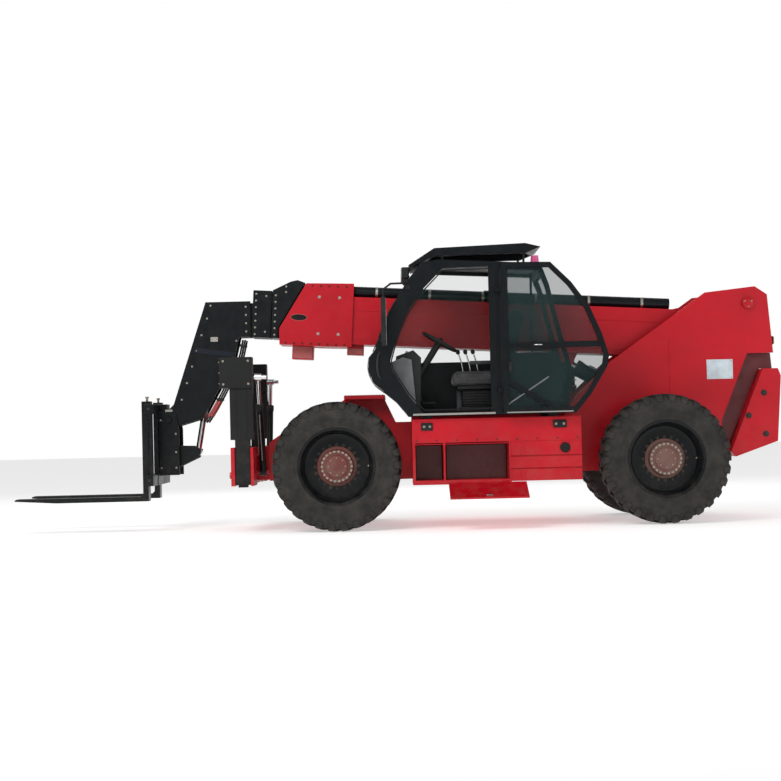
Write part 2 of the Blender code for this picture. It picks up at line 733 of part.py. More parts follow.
def door_hinge():
    closed_inner = CAB_Y[1] + DOOR_GAP
    open_inner = 2 * DOOR_HINGE[1] - closed_inner - DOOR_THICKNESS
    offset = open_inner - DOOR_HINGE[1]
    leaf = ((-0.060, 0.0), (offset + 0.002, offset + 0.010))
    return hinge(2, DOOR_HINGE, DOOR_HINGE_Z, DOOR_LUG, leaf)


def cab_frame():
    """Posts, floor, roof and panels in one welded frame, open where the windows and door are."""
    shell = prism(CAB, *CAB_Y)
    inner_y = (CAB_Y[0] + CAB_WALL, CAB_Y[1] - CAB_WALL)
    fixed, _, _ = door_hinge()
    mounts = [box(x, (1.00, 1.10), (BOX_Z[1] + GAP, CAB_FLOOR_Z + 0.01)) for x in ((-0.60, -0.50), (0.70, 0.80))]
    mounts += [
        box(x, (FRAME_Y - FRAME_PLATE, FRAME_Y), (1.12 + GAP, CAB_FLOOR_Z + 0.01))
        for x in ((-0.58, -0.48), (0.70, 0.80))
    ]
    cut = [
        prism(inset(CAB, CAB_WALL), *inner_y),
        prism(inset(DOOR, 0.030), inner_y[1] - 0.03, CAB_Y[1] + 0.03),
        prism(QUARTER, inner_y[1] - 0.03, CAB_Y[1] + 0.03),
        prism(RIGHT_WINDOW, CAB_Y[0] - 0.03, inner_y[0] + 0.03),
        box((0.66, 1.60), (CAB_Y[0] + 0.06, CAB_Y[1] - 0.06), WINDSCREEN_Z),
        box((-1.00, -0.40), (CAB_Y[0] + 0.08, CAB_Y[1] - 0.08), REAR_WINDOW_Z),
    ]
    frame = part("cab_frame", DARK, shell, cut=cut)
    for number, piece in enumerate(mounts + fixed):
        combine(frame, piece, "UNION", f"fitting_{number}")


def pane_between(name, y, z, front):
    """A pane that follows the cab's outline, at the front or the back."""
    middle = 0.50
    far = 2.0
    keep_off = (-far, middle) if front else (-0.40, far)
    cut = [
        prism(inset(CAB, GLASS + 0.002), *CAB_Y),
        box((-far, far), (CAB_Y[0] - 0.1, CAB_Y[1] + 0.1), (0, z[0] + GAP)),
        box((-far, far), (CAB_Y[0] - 0.1, CAB_Y[1] + 0.1), (z[1] - GAP, 4)),
        box(keep_off, (CAB_Y[0] - 0.1, CAB_Y[1] + 0.1), (0, 4)),
    ]
    part(name, GLAZING, prism(CAB, y[0] + GAP, y[1] - GAP), cut=cut)


def cab_glass():
    pane_between("windscreen", (CAB_Y[0] + 0.06, CAB_Y[1] - 0.06), WINDSCREEN_Z, True)
    pane_between("rear_window", (CAB_Y[0] + 0.08, CAB_Y[1] - 0.08), REAR_WINDOW_Z, False)
    left = CAB_Y[1] - 0.020
    part("quarter_window", GLAZING, prism(inset(QUARTER, GAP), left, left + GLASS))
    right = CAB_Y[0] + 0.015
    part("side_window", GLAZING, prism(inset(RIGHT_WINDOW, GAP), right, right + GLASS))


def cab_door():
    """The door, folded back beside the cab, and its bonded pane."""
    swing = pivot("cab_door_hinge", (*DOOR_HINGE, 0), parent=machine)
    inner = 2 * DOOR_HINGE[1] - CAB_Y[1] - DOOR_GAP - DOOR_THICKNESS
    outer = inner + DOOR_THICKNESS
    _, moving, bores = door_hinge()
    windows = [
        prism(open_door(outline), inner - 0.02, outer + 0.02)
        for outline in (DOOR_UPPER, DOOR_LOWER, DOOR_CORNER)
    ]
    door = part("cab_door", DARK, prism(open_door(DOOR), inner, outer), cut=windows, rides=swing)
    for number, piece in enumerate(moving):
        combine(door, piece, "UNION", f"hinge_{number}")
    for number, piece in enumerate(bores):
        combine(door, piece, "DIFFERENCE", f"bore_{number}")
    pane = prism(open_door(inset(DOOR, 0.030)), inner - GAP - GLASS, inner - GAP)
    part("door_glass", GLAZING, pane, rides=swing)


def seat():
    """Pedestal, cushion and back, as one upholstered body."""
    base = box((0.05, 0.40), (0.60, 0.92), (CAB_FLOOR_Z + CAB_WALL + GAP, 1.50))
    cushion = box((-0.02, 0.48), (0.52, 1.00), (1.48, 1.62))
    back = prism([(0.00, 1.56), (-0.14, 2.28), (-0.26, 2.28), (-0.14, 1.56)], 0.53, 0.99)
    part("seat", SEAT, base, joined=[cushion, back])


def steering_console():
    """Dash, column and steering wheel."""
    middle = Vector((0.60, 0.76, 1.95))
    lean = Vector((-0.50, 0, 0.866))
    side = Vector((0, 1, 0))
    across = lean.cross(side)
    rim = [
        middle + (side * math.cos(turn) + across * math.sin(turn)) * 0.19
        for turn in (2 * math.pi * step / 24 for step in range(24))
    ]
    dash = prism(
        [(0.82, CAB_FLOOR_Z + CAB_WALL + GAP), (0.80, 1.78), (0.88, 1.86), (1.06, 1.80), (1.10, 1.50),
         (0.90, CAB_FLOOR_Z + CAB_WALL + GAP)],
        0.50, 1.02,
    )
    spokes = [rod(middle - side * 0.19, middle + side * 0.19, 0.010, 8)]
    column = rod(middle + lean * 0.01, (0.86, 0.76, 1.55), 0.035, 12)
    part("steering_console", PLASTIC, dash, joined=[column, tube(rim, 0.015, ring=True)] + spokes)


def roof_guard():
    """A slatted guard over the roof, on four feet."""
    y = (CAB_Y[0] + 0.05, CAB_Y[1] - 0.05)
    outline = [(0.88, 2.715), (0.91, 2.735), (0.64, 2.905), (-0.30, 2.935), (-0.46, 2.895), (-0.30, 2.83),
               (0.58, 2.825), (0.70, 2.80)]
    under = [(0.88, 2.70), (0.875, 2.717), (0.635, 2.877), (-0.30, 2.907), (-0.42, 2.875), (-0.30, 2.70)]
    middle = (y[0] + 0.03, y[1] - 0.03)
    feet = []
    for x in (-0.28, 0.56):
        roof = 2.72 + (x + 0.45) * 0.06 / 1.055
        for side_y in (y[0] + 0.015, y[1] - 0.015):
            feet.append(rod((x, side_y, roof + 0.0008), (x, side_y, 2.86), 0.012, 12))
    guard = part("roof_guard", DARK, prism(outline, *y), cut=[prism(under, *middle)])
    for number, foot in enumerate(feet):
        combine(guard, foot, "UNION", f"foot_{number}")


def beacon():
    x, y = -0.40, 1.08
    roof = 2.72 + (x + 0.45) * 0.06 / 1.055
    lens = rod((x, y, roof + 0.003), (x, y, roof + 0.085), 0.045, 20, far_radius=0.038)
    part("beacon", LENS, lens, smooth=True)


def mirror_left():
    """The tall mirror on its arms, ahead of the door post."""
    y = 1.36
    wall = CAB_Y[1] + GAP
    head = box((1.155, 1.205), (1.28, 1.44), (1.89, 2.39))
    upper = [(0.93, wall + 0.012, 2.50), (0.98, 1.25, 2.54), (1.10, 1.34, 2.53), (1.18, y, 2.47), (1.18, y, 2.35)]
    lower = [(1.18, y, 1.93), (1.20, 1.30, 1.95), (1.20, wall + 0.012, 1.96)]
    feet = [
        box((0.905, 0.950), (wall, wall + 0.014), (2.48, 2.52)),
        box((1.175, 1.215), (wall, wall + 0.014), (1.94, 1.98)),
    ]
    part("mirror_left", PLASTIC, head, joined=[tube(upper, 0.011), tube(lower, 0.010)] + feet)


# ---------------------------------------------------------------- boom
def section_size(number):
    """Half width, underside and top of a section, counted from 0 for the outer one."""
    half_height = (BOOM_HEIGHT - number * SECTION_STEP) / 2
    half_width = (BOOM_WIDTH - number * SECTION_STEP) / 2
    return half_width, BOOM_MIDDLE - half_height, BOOM_MIDDLE + half_height


def section_box(number, low, high, inwards, local):
    half, bottom, top = section_size(number)
    return box((low, high), (inwards - half, half - inwards), (bottom + inwards, top - inwards), local)


def wear_pads(number, tail, local):
    """Pads on a section's tail that run against the walls of the one round it."""
    half, bottom, top = section_size(number)
    room = SECTION_STEP / 2 - BOOM_WALL - 0.0005
    long = (tail, tail + 0.12)
    return [
        box(long, (-half + 0.03, half - 0.03), (top - 0.004, top + room), local),
        box(long, (-half + 0.03, half - 0.03), (bottom - room, bottom + 0.004), local),
    ]


COLLAR = [(4.25, 0.06), (4.767, 0.045), (5.045, -0.457), (5.035, -0.63), (4.60, -0.637), (4.25, -0.631)]
NOSE_CUT = [(4.767, 0.045), (5.045, -0.457), (5.035, -0.70), (5.40, -0.70), (5.40, 0.25), (4.654, 0.25)]
COLLAR_2 = [(4.785, 0.050), (4.865, 0.076), (4.94, 0.056), (5.13, -0.045), (5.13, -0.5635), (5.06, -0.5635),
            (5.058, -0.450)]
BOOM_EAR = [(0.78, -0.083), (0.10, 0.095), (-0.04, 0.105), (-0.11, 0.02), (-0.09, -0.08), (0.32, -0.60), (0.78, -0.60)]


def boom_outer(boom):
    """The outer section, with its ears, nose collar, cylinder lugs and lower stops."""
    half = BOOM_WIDTH / 2
    main = section_box(0, 0.46, BOOM_NOSE + 0.02, 0, boom)
    bore = section_box(0, 0.36, BOOM_NOSE + 0.10, BOOM_WALL, boom)
    joined = [
        rod((0, -0.37, 0), (0, 0.37, 0), 0.095, 24, boom),
        box((4.25, 4.77), (-half - 0.03, half + 0.03), (0.015, 0.045), boom),
        box((4.25, 5.035), (-half - 0.03, half + 0.03), (-0.632, -0.597), boom),
        box((4.67, 4.90), (-0.11, 0.11), (-0.78, -0.62), boom),
        box((4.12, 4.30), (-0.11, 0.11), (-0.71, -0.595), boom),
    ]
    for side in (1, -1):
        collar_y = sorted((side * (half - 0.004), side * (half + 0.03)))
        ear_y = sorted((side * (half - 0.030), side * (half - 0.002)))
        lug_y = sorted((side * 0.100, side * 0.125))
        joined.append(prism(COLLAR, *collar_y, local=boom))
        joined.append(prism(BOOM_EAR, *ear_y, local=boom))
        lift_x = LIFT_EYE[0]
        lug = [(lift_x - 0.12, -0.595), (lift_x - 0.05, -0.757), (lift_x + 0.05, -0.757), (lift_x + 0.12, -0.595)]
        joined.append(prism(lug, *lug_y, local=boom))
    outer = part("boom_outer", PAINT, main, cut=[bore], rides=boom)
    for number, piece in enumerate(joined):
        combine(outer, piece, "UNION", f"join_{number}")
    nose = prism(NOSE_CUT, -0.3, 0.3, local=boom)
    pin = rod((0, -0.5, 0), (0, 0.5, 0), hole_radius(PIVOT_PIN, 24), 24, boom)
    combine(outer, nose, "DIFFERENCE", "nose")
    combine(outer, pin, "DIFFERENCE", "pin")


def boom_sections(boom):
    """Three nested box sections, each with a collar at its front."""
    for number, name in ((1, "boom_section_2"), (2, "boom_section_3"), (3, "boom_section_4")):
        tail = SECTION_TAIL + TAIL_STEP * (number - 1)
        nose = (5.13, 5.345, 5.3797)[number - 1]
        tube_piece = section_box(number, tail, nose, 0, boom)
        section = part(name, DARK, tube_piece, joined=wear_pads(number, tail, boom), rides=boom)
        if number == 1:
            combine(section, prism(COLLAR_2, -0.235, 0.235, local=boom), "UNION", "collar")
        if number == 2:
            collar = box((5.14, 5.345), (-0.205, 0.205), (-0.5635, -0.050), boom)
            combine(section, collar, "UNION", "collar")
        hollow = section_box(number, tail - 0.05, nose + 0.05, BOOM_WALL, boom)
        combine(section, hollow, "DIFFERENCE", "hollow")


HEAD = [
    (2.64, 2.48),
    (3.13, 2.48),
    (3.50, 1.37),
    (3.60, 1.27),
    (3.635, 1.20),
    (3.60, 1.13),
    (3.48, 1.125),
    (3.25, 1.19),
    (3.18, 1.21),
    (2.99, 1.55),
    (2.83, 1.84),
    (2.77, 2.09),
    (2.64, 2.09),
]


def boom_head(boom):
    """The drop head: two plates, closed at the top and front, open behind for the tilt cylinder."""
    outer = HEAD_INNER + HEAD_PLATE
    inside = HEAD_INNER + 0.01
    tilt = (TILT_TOP[0], TILT_TOP[1])
    q = CARRIAGE_PIVOT
    joined = [
        prism(HEAD, -outer, -HEAD_INNER),
        prism([(2.66, 2.478), (3.128, 2.478), (3.12, 2.45), (2.66, 2.45)], -inside, inside),
        prism([(3.125, 2.47), (3.495, 1.37), (3.468, 1.362), (3.10, 2.455)], -inside, inside),
        prism([(2.66, 2.115), (2.765, 2.115), (2.765, 2.095), (2.66, 2.095)], -inside, inside),
        box((5.38, 5.405), (-inside, inside), (-0.50, -0.200), boom),
        rod((tilt[0], -outer - 0.012, tilt[1]), (tilt[0], outer + 0.012, tilt[1]), 0.030),
        rod((q[0], -0.205, q[1]), (q[0], 0.205, q[1]), 0.035),
        rod((q[0], -outer, q[1]), (q[0], outer, q[1]), 0.070),
    ]
    part("boom_head", DARK, prism(HEAD, HEAD_INNER, outer), joined=joined, rides=boom)


def hose_cover(boom):
    """The round cover over the hoses along the top of the outer section."""
    radius = 0.062
    z = BOOM_TOP + radius + GAP
    part("hose_cover", DARK, rod((0.80, 0.09, z), (4.2497, 0.09, z), radius, 24, boom), rides=boom, smooth=True)


# ---------------------------------------------------------------- carriage and forks
def carriage(swing):
    """Ears, cylinder lugs, back plate and the two fork bars."""
    q = CARRIAGE_PIVOT
    ear = [(3.475, 1.27), (3.66, 1.30), (3.69, 1.30), (3.69, 0.60), (3.445, 0.60), (3.445, 1.10)]
    lever = [(3.215, 0.874), (3.245, 0.784), (3.675, 0.584), (3.675, 0.924), (3.305, 0.914)]
    plate = box((3.66, 3.70), (-0.30, 0.30), (0.50, 1.38))
    bars = [
        box((3.665, 3.74), (-CARRIAGE_HALF, CARRIAGE_HALF), (1.27, 1.37)),
        box((3.665, 3.74), (-CARRIAGE_HALF, CARRIAGE_HALF), (0.50, 0.62)),
        box((3.58, 3.67), (-0.12, 0.12), (1.29, 1.375)),
    ]
    ear_inner = HEAD_INNER + HEAD_PLATE + 0.005
    for side in (1, -1):
        bars.append(prism(ear, *sorted((side * ear_inner, side * (ear_inner + EAR_PLATE)))))
        bars.append(prism(lever, *sorted((side * 0.068, side * 0.095))))
        stile = sorted((side * (CARRIAGE_HALF - 0.08), side * CARRIAGE_HALF))
        bars.append(box((3.67, 3.70), stile, (0.55, 1.32)))
    hole = rod((q[0], -0.3, q[1]), (q[0], 0.3, q[1]), hole_radius(0.035))
    part("carriage", DARK, plate, joined=bars, cut=[hole], rides=swing)


def fork(name, y, swing):
    """An L-shaped fork hooked over the top bar."""
    face = 3.74 + GAP
    hook = 1.37 + GAP
    bottom = FORK_BOTTOM
    top = bottom + FORK_THICKNESS
    outline = [
        (face, bottom),
        (FORK_TIP - 0.45, bottom),
        (FORK_TIP, top - 0.022),
        (FORK_TIP, top - 0.010),
        (FORK_TIP - 0.02, top),
        (FORK_HEEL + 0.03, top),
        (FORK_HEEL, top + 0.03),
        (FORK_HEEL, 1.405),
        (3.705, 1.405),
        (3.705, hook),
        (face, hook),
    ]
    part(name, DARK, prism(outline, y - FORK_WIDTH / 2, y + FORK_WIDTH / 2), rides=swing)


# ---------------------------------------------------------------- cylinders
def cylinder_pair(name, base, eye, swing, sizes, side_span, pin, pin_axis="Y", offset=0.0):
    """A barrel on its base pin and a rod to its eye.

    sizes: barrel radius, rod radius, barrel length, where the bore and the rod start, eye radius.
    side_span: half thickness of both eyes.
    pin: radius and ends of the rod eye's pin, and the radius of the base pin.
    """
    barrel_radius, rod_radius, length, bore_start, rod_start, eye_radius = sizes
    line_start, line_end = place_3d(base, pin_axis, offset), place_3d(eye, pin_axis, offset)
    unit = (line_end - line_start).normalized()
    cross = Vector((0, 1, 0)) if pin_axis == "Y" else Vector((1, 0, 0))
    knuckle_piece = rod(line_start - cross * side_span, line_start + cross * side_span, eye_radius)
    barrel = rod(line_start + unit * 0.01, line_start + unit * length, barrel_radius)
    bore = rod(
        line_start + unit * bore_start,
        line_start + unit * (length + 0.05),
        hole_radius(rod_radius),
    )
    hole = rod(line_start - cross * 0.3, line_start + cross * 0.3, hole_radius(pin[2], 20))
    part(f"{name}_barrel", DARK, barrel, joined=[knuckle_piece], cut=[bore, hole], rides=swing, smooth=True)
    far_eye = rod(line_end - cross * side_span, line_end + cross * side_span, eye_radius * 0.9)
    pin_piece = rod(line_end + cross * pin[1][0], line_end + cross * pin[1][1], pin[0])
    shaft = rod(line_start + unit * rod_start, line_end, rod_radius)
    part(f"{name}_rod", CHROME, shaft, joined=[far_eye, pin_piece], rides=swing, smooth=True)


def place_3d(point, pin_axis, offset):
    if pin_axis == "Y":
        return Vector((point[0], offset, point[1]))
    return Vector((offset, point[0], point[1]))


def lift_cylinder():
    swing = pivot("lift_cylinder_pin", (LIFT_BASE[0], 0, LIFT_BASE[1]), parent=machine)
    eye = boom_point(*LIFT_EYE)
    sizes = (0.085, 0.045, LIFT_BARREL, 0.078, 0.13, 0.080)
    cylinder_pair("lift_cylinder", LIFT_BASE, (eye.x, eye.z), swing, sizes, 0.060, (0.035, (-0.0995, 0.0995), 0.040))


def tilt_cylinder():
    swing = pivot("tilt_cylinder_pin", (TILT_TOP[0], 0, TILT_TOP[1]), parent=machine)
    sizes = (0.058, 0.032, TILT_BARREL, 0.065, 0.575, 0.050)
    cylinder_pair("tilt_cylinder", TILT_TOP, TILT_EYE, swing, sizes, 0.050, (0.028, (-0.0675, 0.0675), 0.030))


def stabiliser(side_name, side):
    """A leg on its pin in front of the wheel, and its cylinder."""
    pin_y = side * LEG_Y
    swing = pivot(f"stabiliser_{side_name}_pin", (LEG_X[0], pin_y, LEG_PIN_Z), parent=machine)
    lower = box((2.6005, 2.7545), (pin_y - 0.060, pin_y + 0.060), (0.50, 1.02))
    joined = [
        box(LEG_X, (pin_y - LEG_HALF, pin_y + LEG_HALF), (0.97, 1.60)),
        box((LEG_X[0], LEG_FOOT_X), (pin_y - 0.090, pin_y + 0.090), (1.51, LEG_TOP)),
        box((2.63, 2.73), (pin_y - 0.035, pin_y + 0.035), (0.475, 0.51)),
    ]
    hole = rod((2.50, pin_y, LEG_PIN_Z), (2.90, pin_y, LEG_PIN_Z), hole_radius(0.035))
    part(f"stabiliser_leg_{side_name}", DARK, lower, joined=joined, cut=[hole], rides=swing)
    base = (side * LEG_BASE[0], LEG_BASE[1])
    eye = (side * LEG_EYE[0], LEG_EYE[1])
    cylinder_swing = pivot(f"stabiliser_cylinder_{side_name}_pin", (LEG_CYLINDER_X, *base), parent=machine)
    sizes = (0.036, 0.022, LEG_BARREL, 0.060, 0.10, 0.042)
    reach_in = LEG_X[0] - PIN_PLAY - LEG_CYLINDER_X
    cylinder_pair(f"stabiliser_cylinder_{side_name}", base, eye, cylinder_swing, sizes, 0.036,
                  (0.024, (-0.090, reach_in), 0.025), "X", LEG_CYLINDER_X)


# ---------------------------------------------------------------- assembly
def build():
    running_gear()
    chassis()
    counterweight()
    side_box()
    fuel_tank()
    toolbox_door()
    engine_pod()
    engine_hood()
    engine_block()
    exhaust()
    mirror_right()
    cab_frame()
    cab_glass()
    cab_door()
    seat()
    steering_console()
    roof_guard()
    beacon()
    mirror_left()
    boom = pivot("boom_pivot", (PIVOT_X, 0, PIVOT_Z), (0, -math.radians(BOOM_ANGLE), 0), machine)
    boom_outer(boom)
    boom_sections(boom)
    boom_head(boom)
    hose_cover(boom)
    carriage_swing = pivot("carriage_pin", (CARRIAGE_PIVOT[0], 0, CARRIAGE_PIVOT[1]), parent=machine)
    carriage(carriage_swing)
    fork("fork_left", FORK_Y, carriage_swing)
    fork("fork_right", -FORK_Y, carriage_swing)
    lift_cylinder()
    tilt_cylinder()
    for side_name, side in (("left", 1), ("right", -1)):
        stabiliser(side_name, side)


build()
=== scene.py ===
"""Looks for the telehandler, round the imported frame.

Materials, tyres, hubs, hoses, lamps, bolts and cab fittings.
"""

import json
import math

import bmesh
import bpy
from mathutils import Matrix, Vector


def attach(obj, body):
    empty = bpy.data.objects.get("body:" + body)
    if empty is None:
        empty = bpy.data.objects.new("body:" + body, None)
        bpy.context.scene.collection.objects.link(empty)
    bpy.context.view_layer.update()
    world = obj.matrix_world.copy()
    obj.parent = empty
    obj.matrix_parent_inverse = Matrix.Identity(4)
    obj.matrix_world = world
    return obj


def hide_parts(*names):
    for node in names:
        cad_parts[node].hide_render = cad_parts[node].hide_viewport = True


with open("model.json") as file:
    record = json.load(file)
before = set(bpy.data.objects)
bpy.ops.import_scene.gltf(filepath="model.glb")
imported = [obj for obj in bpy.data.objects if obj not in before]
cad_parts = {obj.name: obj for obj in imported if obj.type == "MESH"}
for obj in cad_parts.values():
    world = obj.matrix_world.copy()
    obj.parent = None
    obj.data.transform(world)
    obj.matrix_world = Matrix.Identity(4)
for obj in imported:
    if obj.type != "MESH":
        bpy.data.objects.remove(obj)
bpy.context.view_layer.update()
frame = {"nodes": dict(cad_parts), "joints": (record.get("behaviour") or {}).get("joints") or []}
nodes = frame["nodes"]

JOINTS = {joint["name"]: joint for joint in frame["joints"]}
SIDES = (("left", 1), ("right", -1))
AHEAD, LEFT, UP = Vector((1, 0, 0)), Vector((0, 1, 0)), Vector((0, 0, 1))
WHEELS = [(end, name, side) for end in ("front", "rear") for name, side in SIDES]


# ---------------------------------------------------------------- node helpers
def graph(name):
    """A new material, its shader and a function that adds nodes to it."""
    material = bpy.data.materials.new(name)
    material.use_nodes = True
    tree = material.node_tree
    shader = tree.nodes["Principled BSDF"]

    def add(kind, **settings):
        node = tree.nodes.new(kind)
        for key, value in settings.items():
            if hasattr(node, key):
                setattr(node, key, value)
            else:
                node.inputs[key.replace("_", " ")].default_value = value
        return node

    return material, tree, shader, add


def noise(tree, add, source, scale, detail=4.0, roughness=0.55):
    node = add("ShaderNodeTexNoise", Scale=scale, Detail=detail, Roughness=roughness)
    tree.links.new(source, node.inputs["Vector"])
    return node.outputs["Fac"]


def ramp(tree, add, source, low, high):
    """0 below low and 1 above high."""
    node = add("ShaderNodeMapRange", clamp=True)
    node.inputs["From Min"].default_value = low
    node.inputs["From Max"].default_value = high
    tree.links.new(source, node.inputs["Value"])
    return node.outputs["Result"]


def mixed(tree, add, factor, first, second):
    """A colour mix; first and second are colours or sockets."""
    node = add("ShaderNodeMix", data_type="RGBA")
    tree.links.new(factor, node.inputs[0])
    for socket, value in ((node.inputs[6], first), (node.inputs[7], second)):
        if isinstance(value, tuple):
            socket.default_value = (*value, 1.0)
        else:
            tree.links.new(value, socket)
    return node.outputs[2]


def product(tree, add, first, second):
    node = add("ShaderNodeMath", operation="MULTIPLY")
    tree.links.new(first, node.inputs[0])
    if isinstance(second, float):
        node.inputs[1].default_value = second
    else:
        tree.links.new(second, node.inputs[1])
    return node.outputs[0]


def bump(tree, add, shader, height, strength, distance=0.002):
    node = add("ShaderNodeBump", Strength=strength, Distance=distance)
    tree.links.new(height, node.inputs["Height"])
    tree.links.new(node.outputs["Normal"], shader.inputs["Normal"])


def place_of(add):
    return add("ShaderNodeTexCoord").outputs["Object"]


# ---------------------------------------------------------------- materials
DUST = (0.20, 0.16, 0.12)
GRIME = (0.012, 0.010, 0.009)


def enamel(name, colour, deep, roughness=0.30, dust=0.5, coat=0.35, shine=0.5):
    """Sprayed enamel: faint orange peel, faded patches, scratches, and dust low down."""
    material, tree, shader, add = graph(name)
    place = place_of(add)
    fade = ramp(tree, add, noise(tree, add, place, 1.7, 5.0), 0.35, 0.75)
    base = mixed(tree, add, fade, colour, deep)
    height = add("ShaderNodeSeparateXYZ")
    tree.links.new(place, height.inputs[0])
    low = ramp(tree, add, height.outputs["Z"], 1.3, 0.2)
    speckle = ramp(tree, add, noise(tree, add, place, 9.0, 8.0, 0.7), 0.42, 0.78)
    dusty = product(tree, add, product(tree, add, low, speckle), dust)
    base = mixed(tree, add, dusty, base, DUST)
    streak = add("ShaderNodeMapping")
    streak.inputs["Scale"].default_value = (1.2, 14.0, 30.0)
    tree.links.new(place, streak.inputs["Vector"])
    scratches = ramp(tree, add, noise(tree, add, streak.outputs["Vector"], 3.0, 7.0, 0.6), 0.70,
                     0.80)
    base = mixed(tree, add, product(tree, add, scratches, 0.30), base, GRIME)
    tree.links.new(base, shader.inputs["Base Color"])
    rough = add("ShaderNodeMapRange")
    rough.inputs["To Min"].default_value = roughness
    rough.inputs["To Max"].default_value = min(roughness + 0.28, 0.95)
    tree.links.new(speckle, rough.inputs["Value"])
    tree.links.new(rough.outputs["Result"], shader.inputs["Roughness"])
    shader.inputs["Specular IOR Level"].default_value = shine
    shader.inputs["Coat Weight"].default_value = coat
    shader.inputs["Coat Roughness"].default_value = 0.12
    bump(tree, add, shader, noise(tree, add, place, 160.0, 2.0), 0.05, 0.0006)
    return material


def rubber(name, colour, dusty_colour, amount):
    material, tree, shader, add = graph(name)
    place = place_of(add)
    dusty = ramp(tree, add, noise(tree, add, place, 5.0, 8.0, 0.7), 0.38, 0.70)
    base = mixed(tree, add, product(tree, add, dusty, amount), colour, dusty_colour)
    tree.links.new(base, shader.inputs["Base Color"])
    shader.inputs["Roughness"].default_value = 0.82
    shader.inputs["Specular IOR Level"].default_value = 0.35
    bump(tree, add, shader, noise(tree, add, place, 90.0, 5.0), 0.25, 0.0015)
    return material


def metal(name, colour, roughness, stain=0.25):
    """Bare metal with fine turning marks and brown stains."""
    material, tree, shader, add = graph(name)
    place = place_of(add)
    spots = ramp(tree, add, noise(tree, add, place, 14.0, 7.0, 0.65), 0.55, 0.80)
    base = mixed(tree, add, product(tree, add, spots, stain), colour, (0.10, 0.055, 0.03))
    tree.links.new(base, shader.inputs["Base Color"])
    shader.inputs["Metallic"].default_value = 1.0
    shader.inputs["Roughness"].default_value = roughness
    bump(tree, add, shader, noise(tree, add, place, 220.0, 2.0), 0.06, 0.0005)
    return material


def moulded(name, colour, roughness=0.55):
    """Moulded plastic with a fine pebble grain."""
    material, tree, shader, add = graph(name)
    place = place_of(add)
    cells = add("ShaderNodeTexVoronoi", Scale=420.0)
    tree.links.new(place, cells.inputs["Vector"])
    patch = ramp(tree, add, noise(tree, add, place, 6.0, 5.0), 0.35, 0.75)
    lighter = tuple(min(channel * 1.5 + 0.01, 1.0) for channel in colour)
    tree.links.new(mixed(tree, add, patch, colour, lighter), shader.inputs["Base Color"])
    shader.inputs["Roughness"].default_value = roughness
    shader.inputs["Specular IOR Level"].default_value = 0.3
    bump(tree, add, shader, cells.outputs["Distance"], 0.06, 0.0004)
    return material


def vinyl(name, colour):
    """Seat cover: creased vinyl with a woven backing showing through."""
    material, tree, shader, add = graph(name)
    place = place_of(add)
    cells = add("ShaderNodeTexVoronoi", Scale=260.0)
    tree.links.new(place, cells.inputs["Vector"])
    worn = ramp(tree, add, noise(tree, add, place, 8.0, 6.0), 0.40, 0.75)
    lighter = tuple(channel * 2.2 + 0.01 for channel in colour)
    tree.links.new(mixed(tree, add, worn, colour, lighter), shader.inputs["Base Color"])
    shader.inputs["Roughness"].default_value = 0.6
    shader.inputs["Sheen Weight"].default_value = 0.2
    bump(tree, add, shader, cells.outputs["Distance"], 0.35, 0.001)
    return material


def tinted_glass(name, colour, alpha):
    material, tree, shader, add = graph(name)
    place = place_of(add)
    smear = ramp(tree, add, noise(tree, add, place, 2.2, 6.0), 0.45, 0.80)
    lighter = tuple(min(channel * 1.4 + 0.01, 1.0) for channel in colour)
    tree.links.new(mixed(tree, add, smear, colour, lighter), shader.inputs["Base Color"])
    shader.inputs["Roughness"].default_value = 0.04
    shader.inputs["Alpha"].default_value = alpha
    shader.inputs["IOR"].default_value = 1.5
    return material


def lens(name, colour, glow):
    material, tree, shader, add = graph(name)
    place = place_of(add)
    ribs = add("ShaderNodeTexWave", Scale=38.0, Distortion=0.0, bands_direction="Z")
    tree.links.new(place, ribs.inputs["Vector"])
    # The rib troughs take 0.6 of the lens colour: painted shade along the ribs.
    deep = tuple(channel * 0.6 for channel in colour)
    tree.links.new(mixed(tree, add, ribs.outputs["Fac"], deep, colour), shader.inputs["Base Color"])
    shader.inputs["Roughness"].default_value = 0.12
    shader.inputs["Coat Weight"].default_value = 0.6
    shader.inputs["Emission Color"].default_value = (*colour, 1.0)
    shader.inputs["Emission Strength"].default_value = glow
    bump(tree, add, shader, ribs.outputs["Fac"], 0.3, 0.002)
    return material


RED = enamel("red_enamel", (0.56, 0.0030, 0.014), (0.42, 0.0022, 0.010), 0.32, 0.30, 0.10, 0.28)
# A paler red: faded paint on the lug faces and hose wraps, and a painted highlight round the collar
# slots.
PALE_RED = enamel("faded_red_and_painted_highlight", (0.52, 0.12, 0.11), (0.36, 0.05, 0.05), 0.45, 0.2)
# A much darker copy of the red enamel, on the deck and on recessed plates; on the tail infills and
# the toolbox's back walls the darkness is painted shade.
DECK_RED = enamel("dark_red_deck", (0.13, 0.010, 0.014), (0.09, 0.008, 0.010), 0.55, 0.6)
BLACK = enamel("black_enamel", (0.0020, 0.0038, 0.0052), (0.0036, 0.0060, 0.0078), 0.30, 0.18, 0.03,
               0.22)
LEG_BLACK = enamel("leg_black", (0.0085, 0.0090, 0.0095), (0.012, 0.012, 0.0115), 0.5, 0.30, 0.0,
                   0.25)
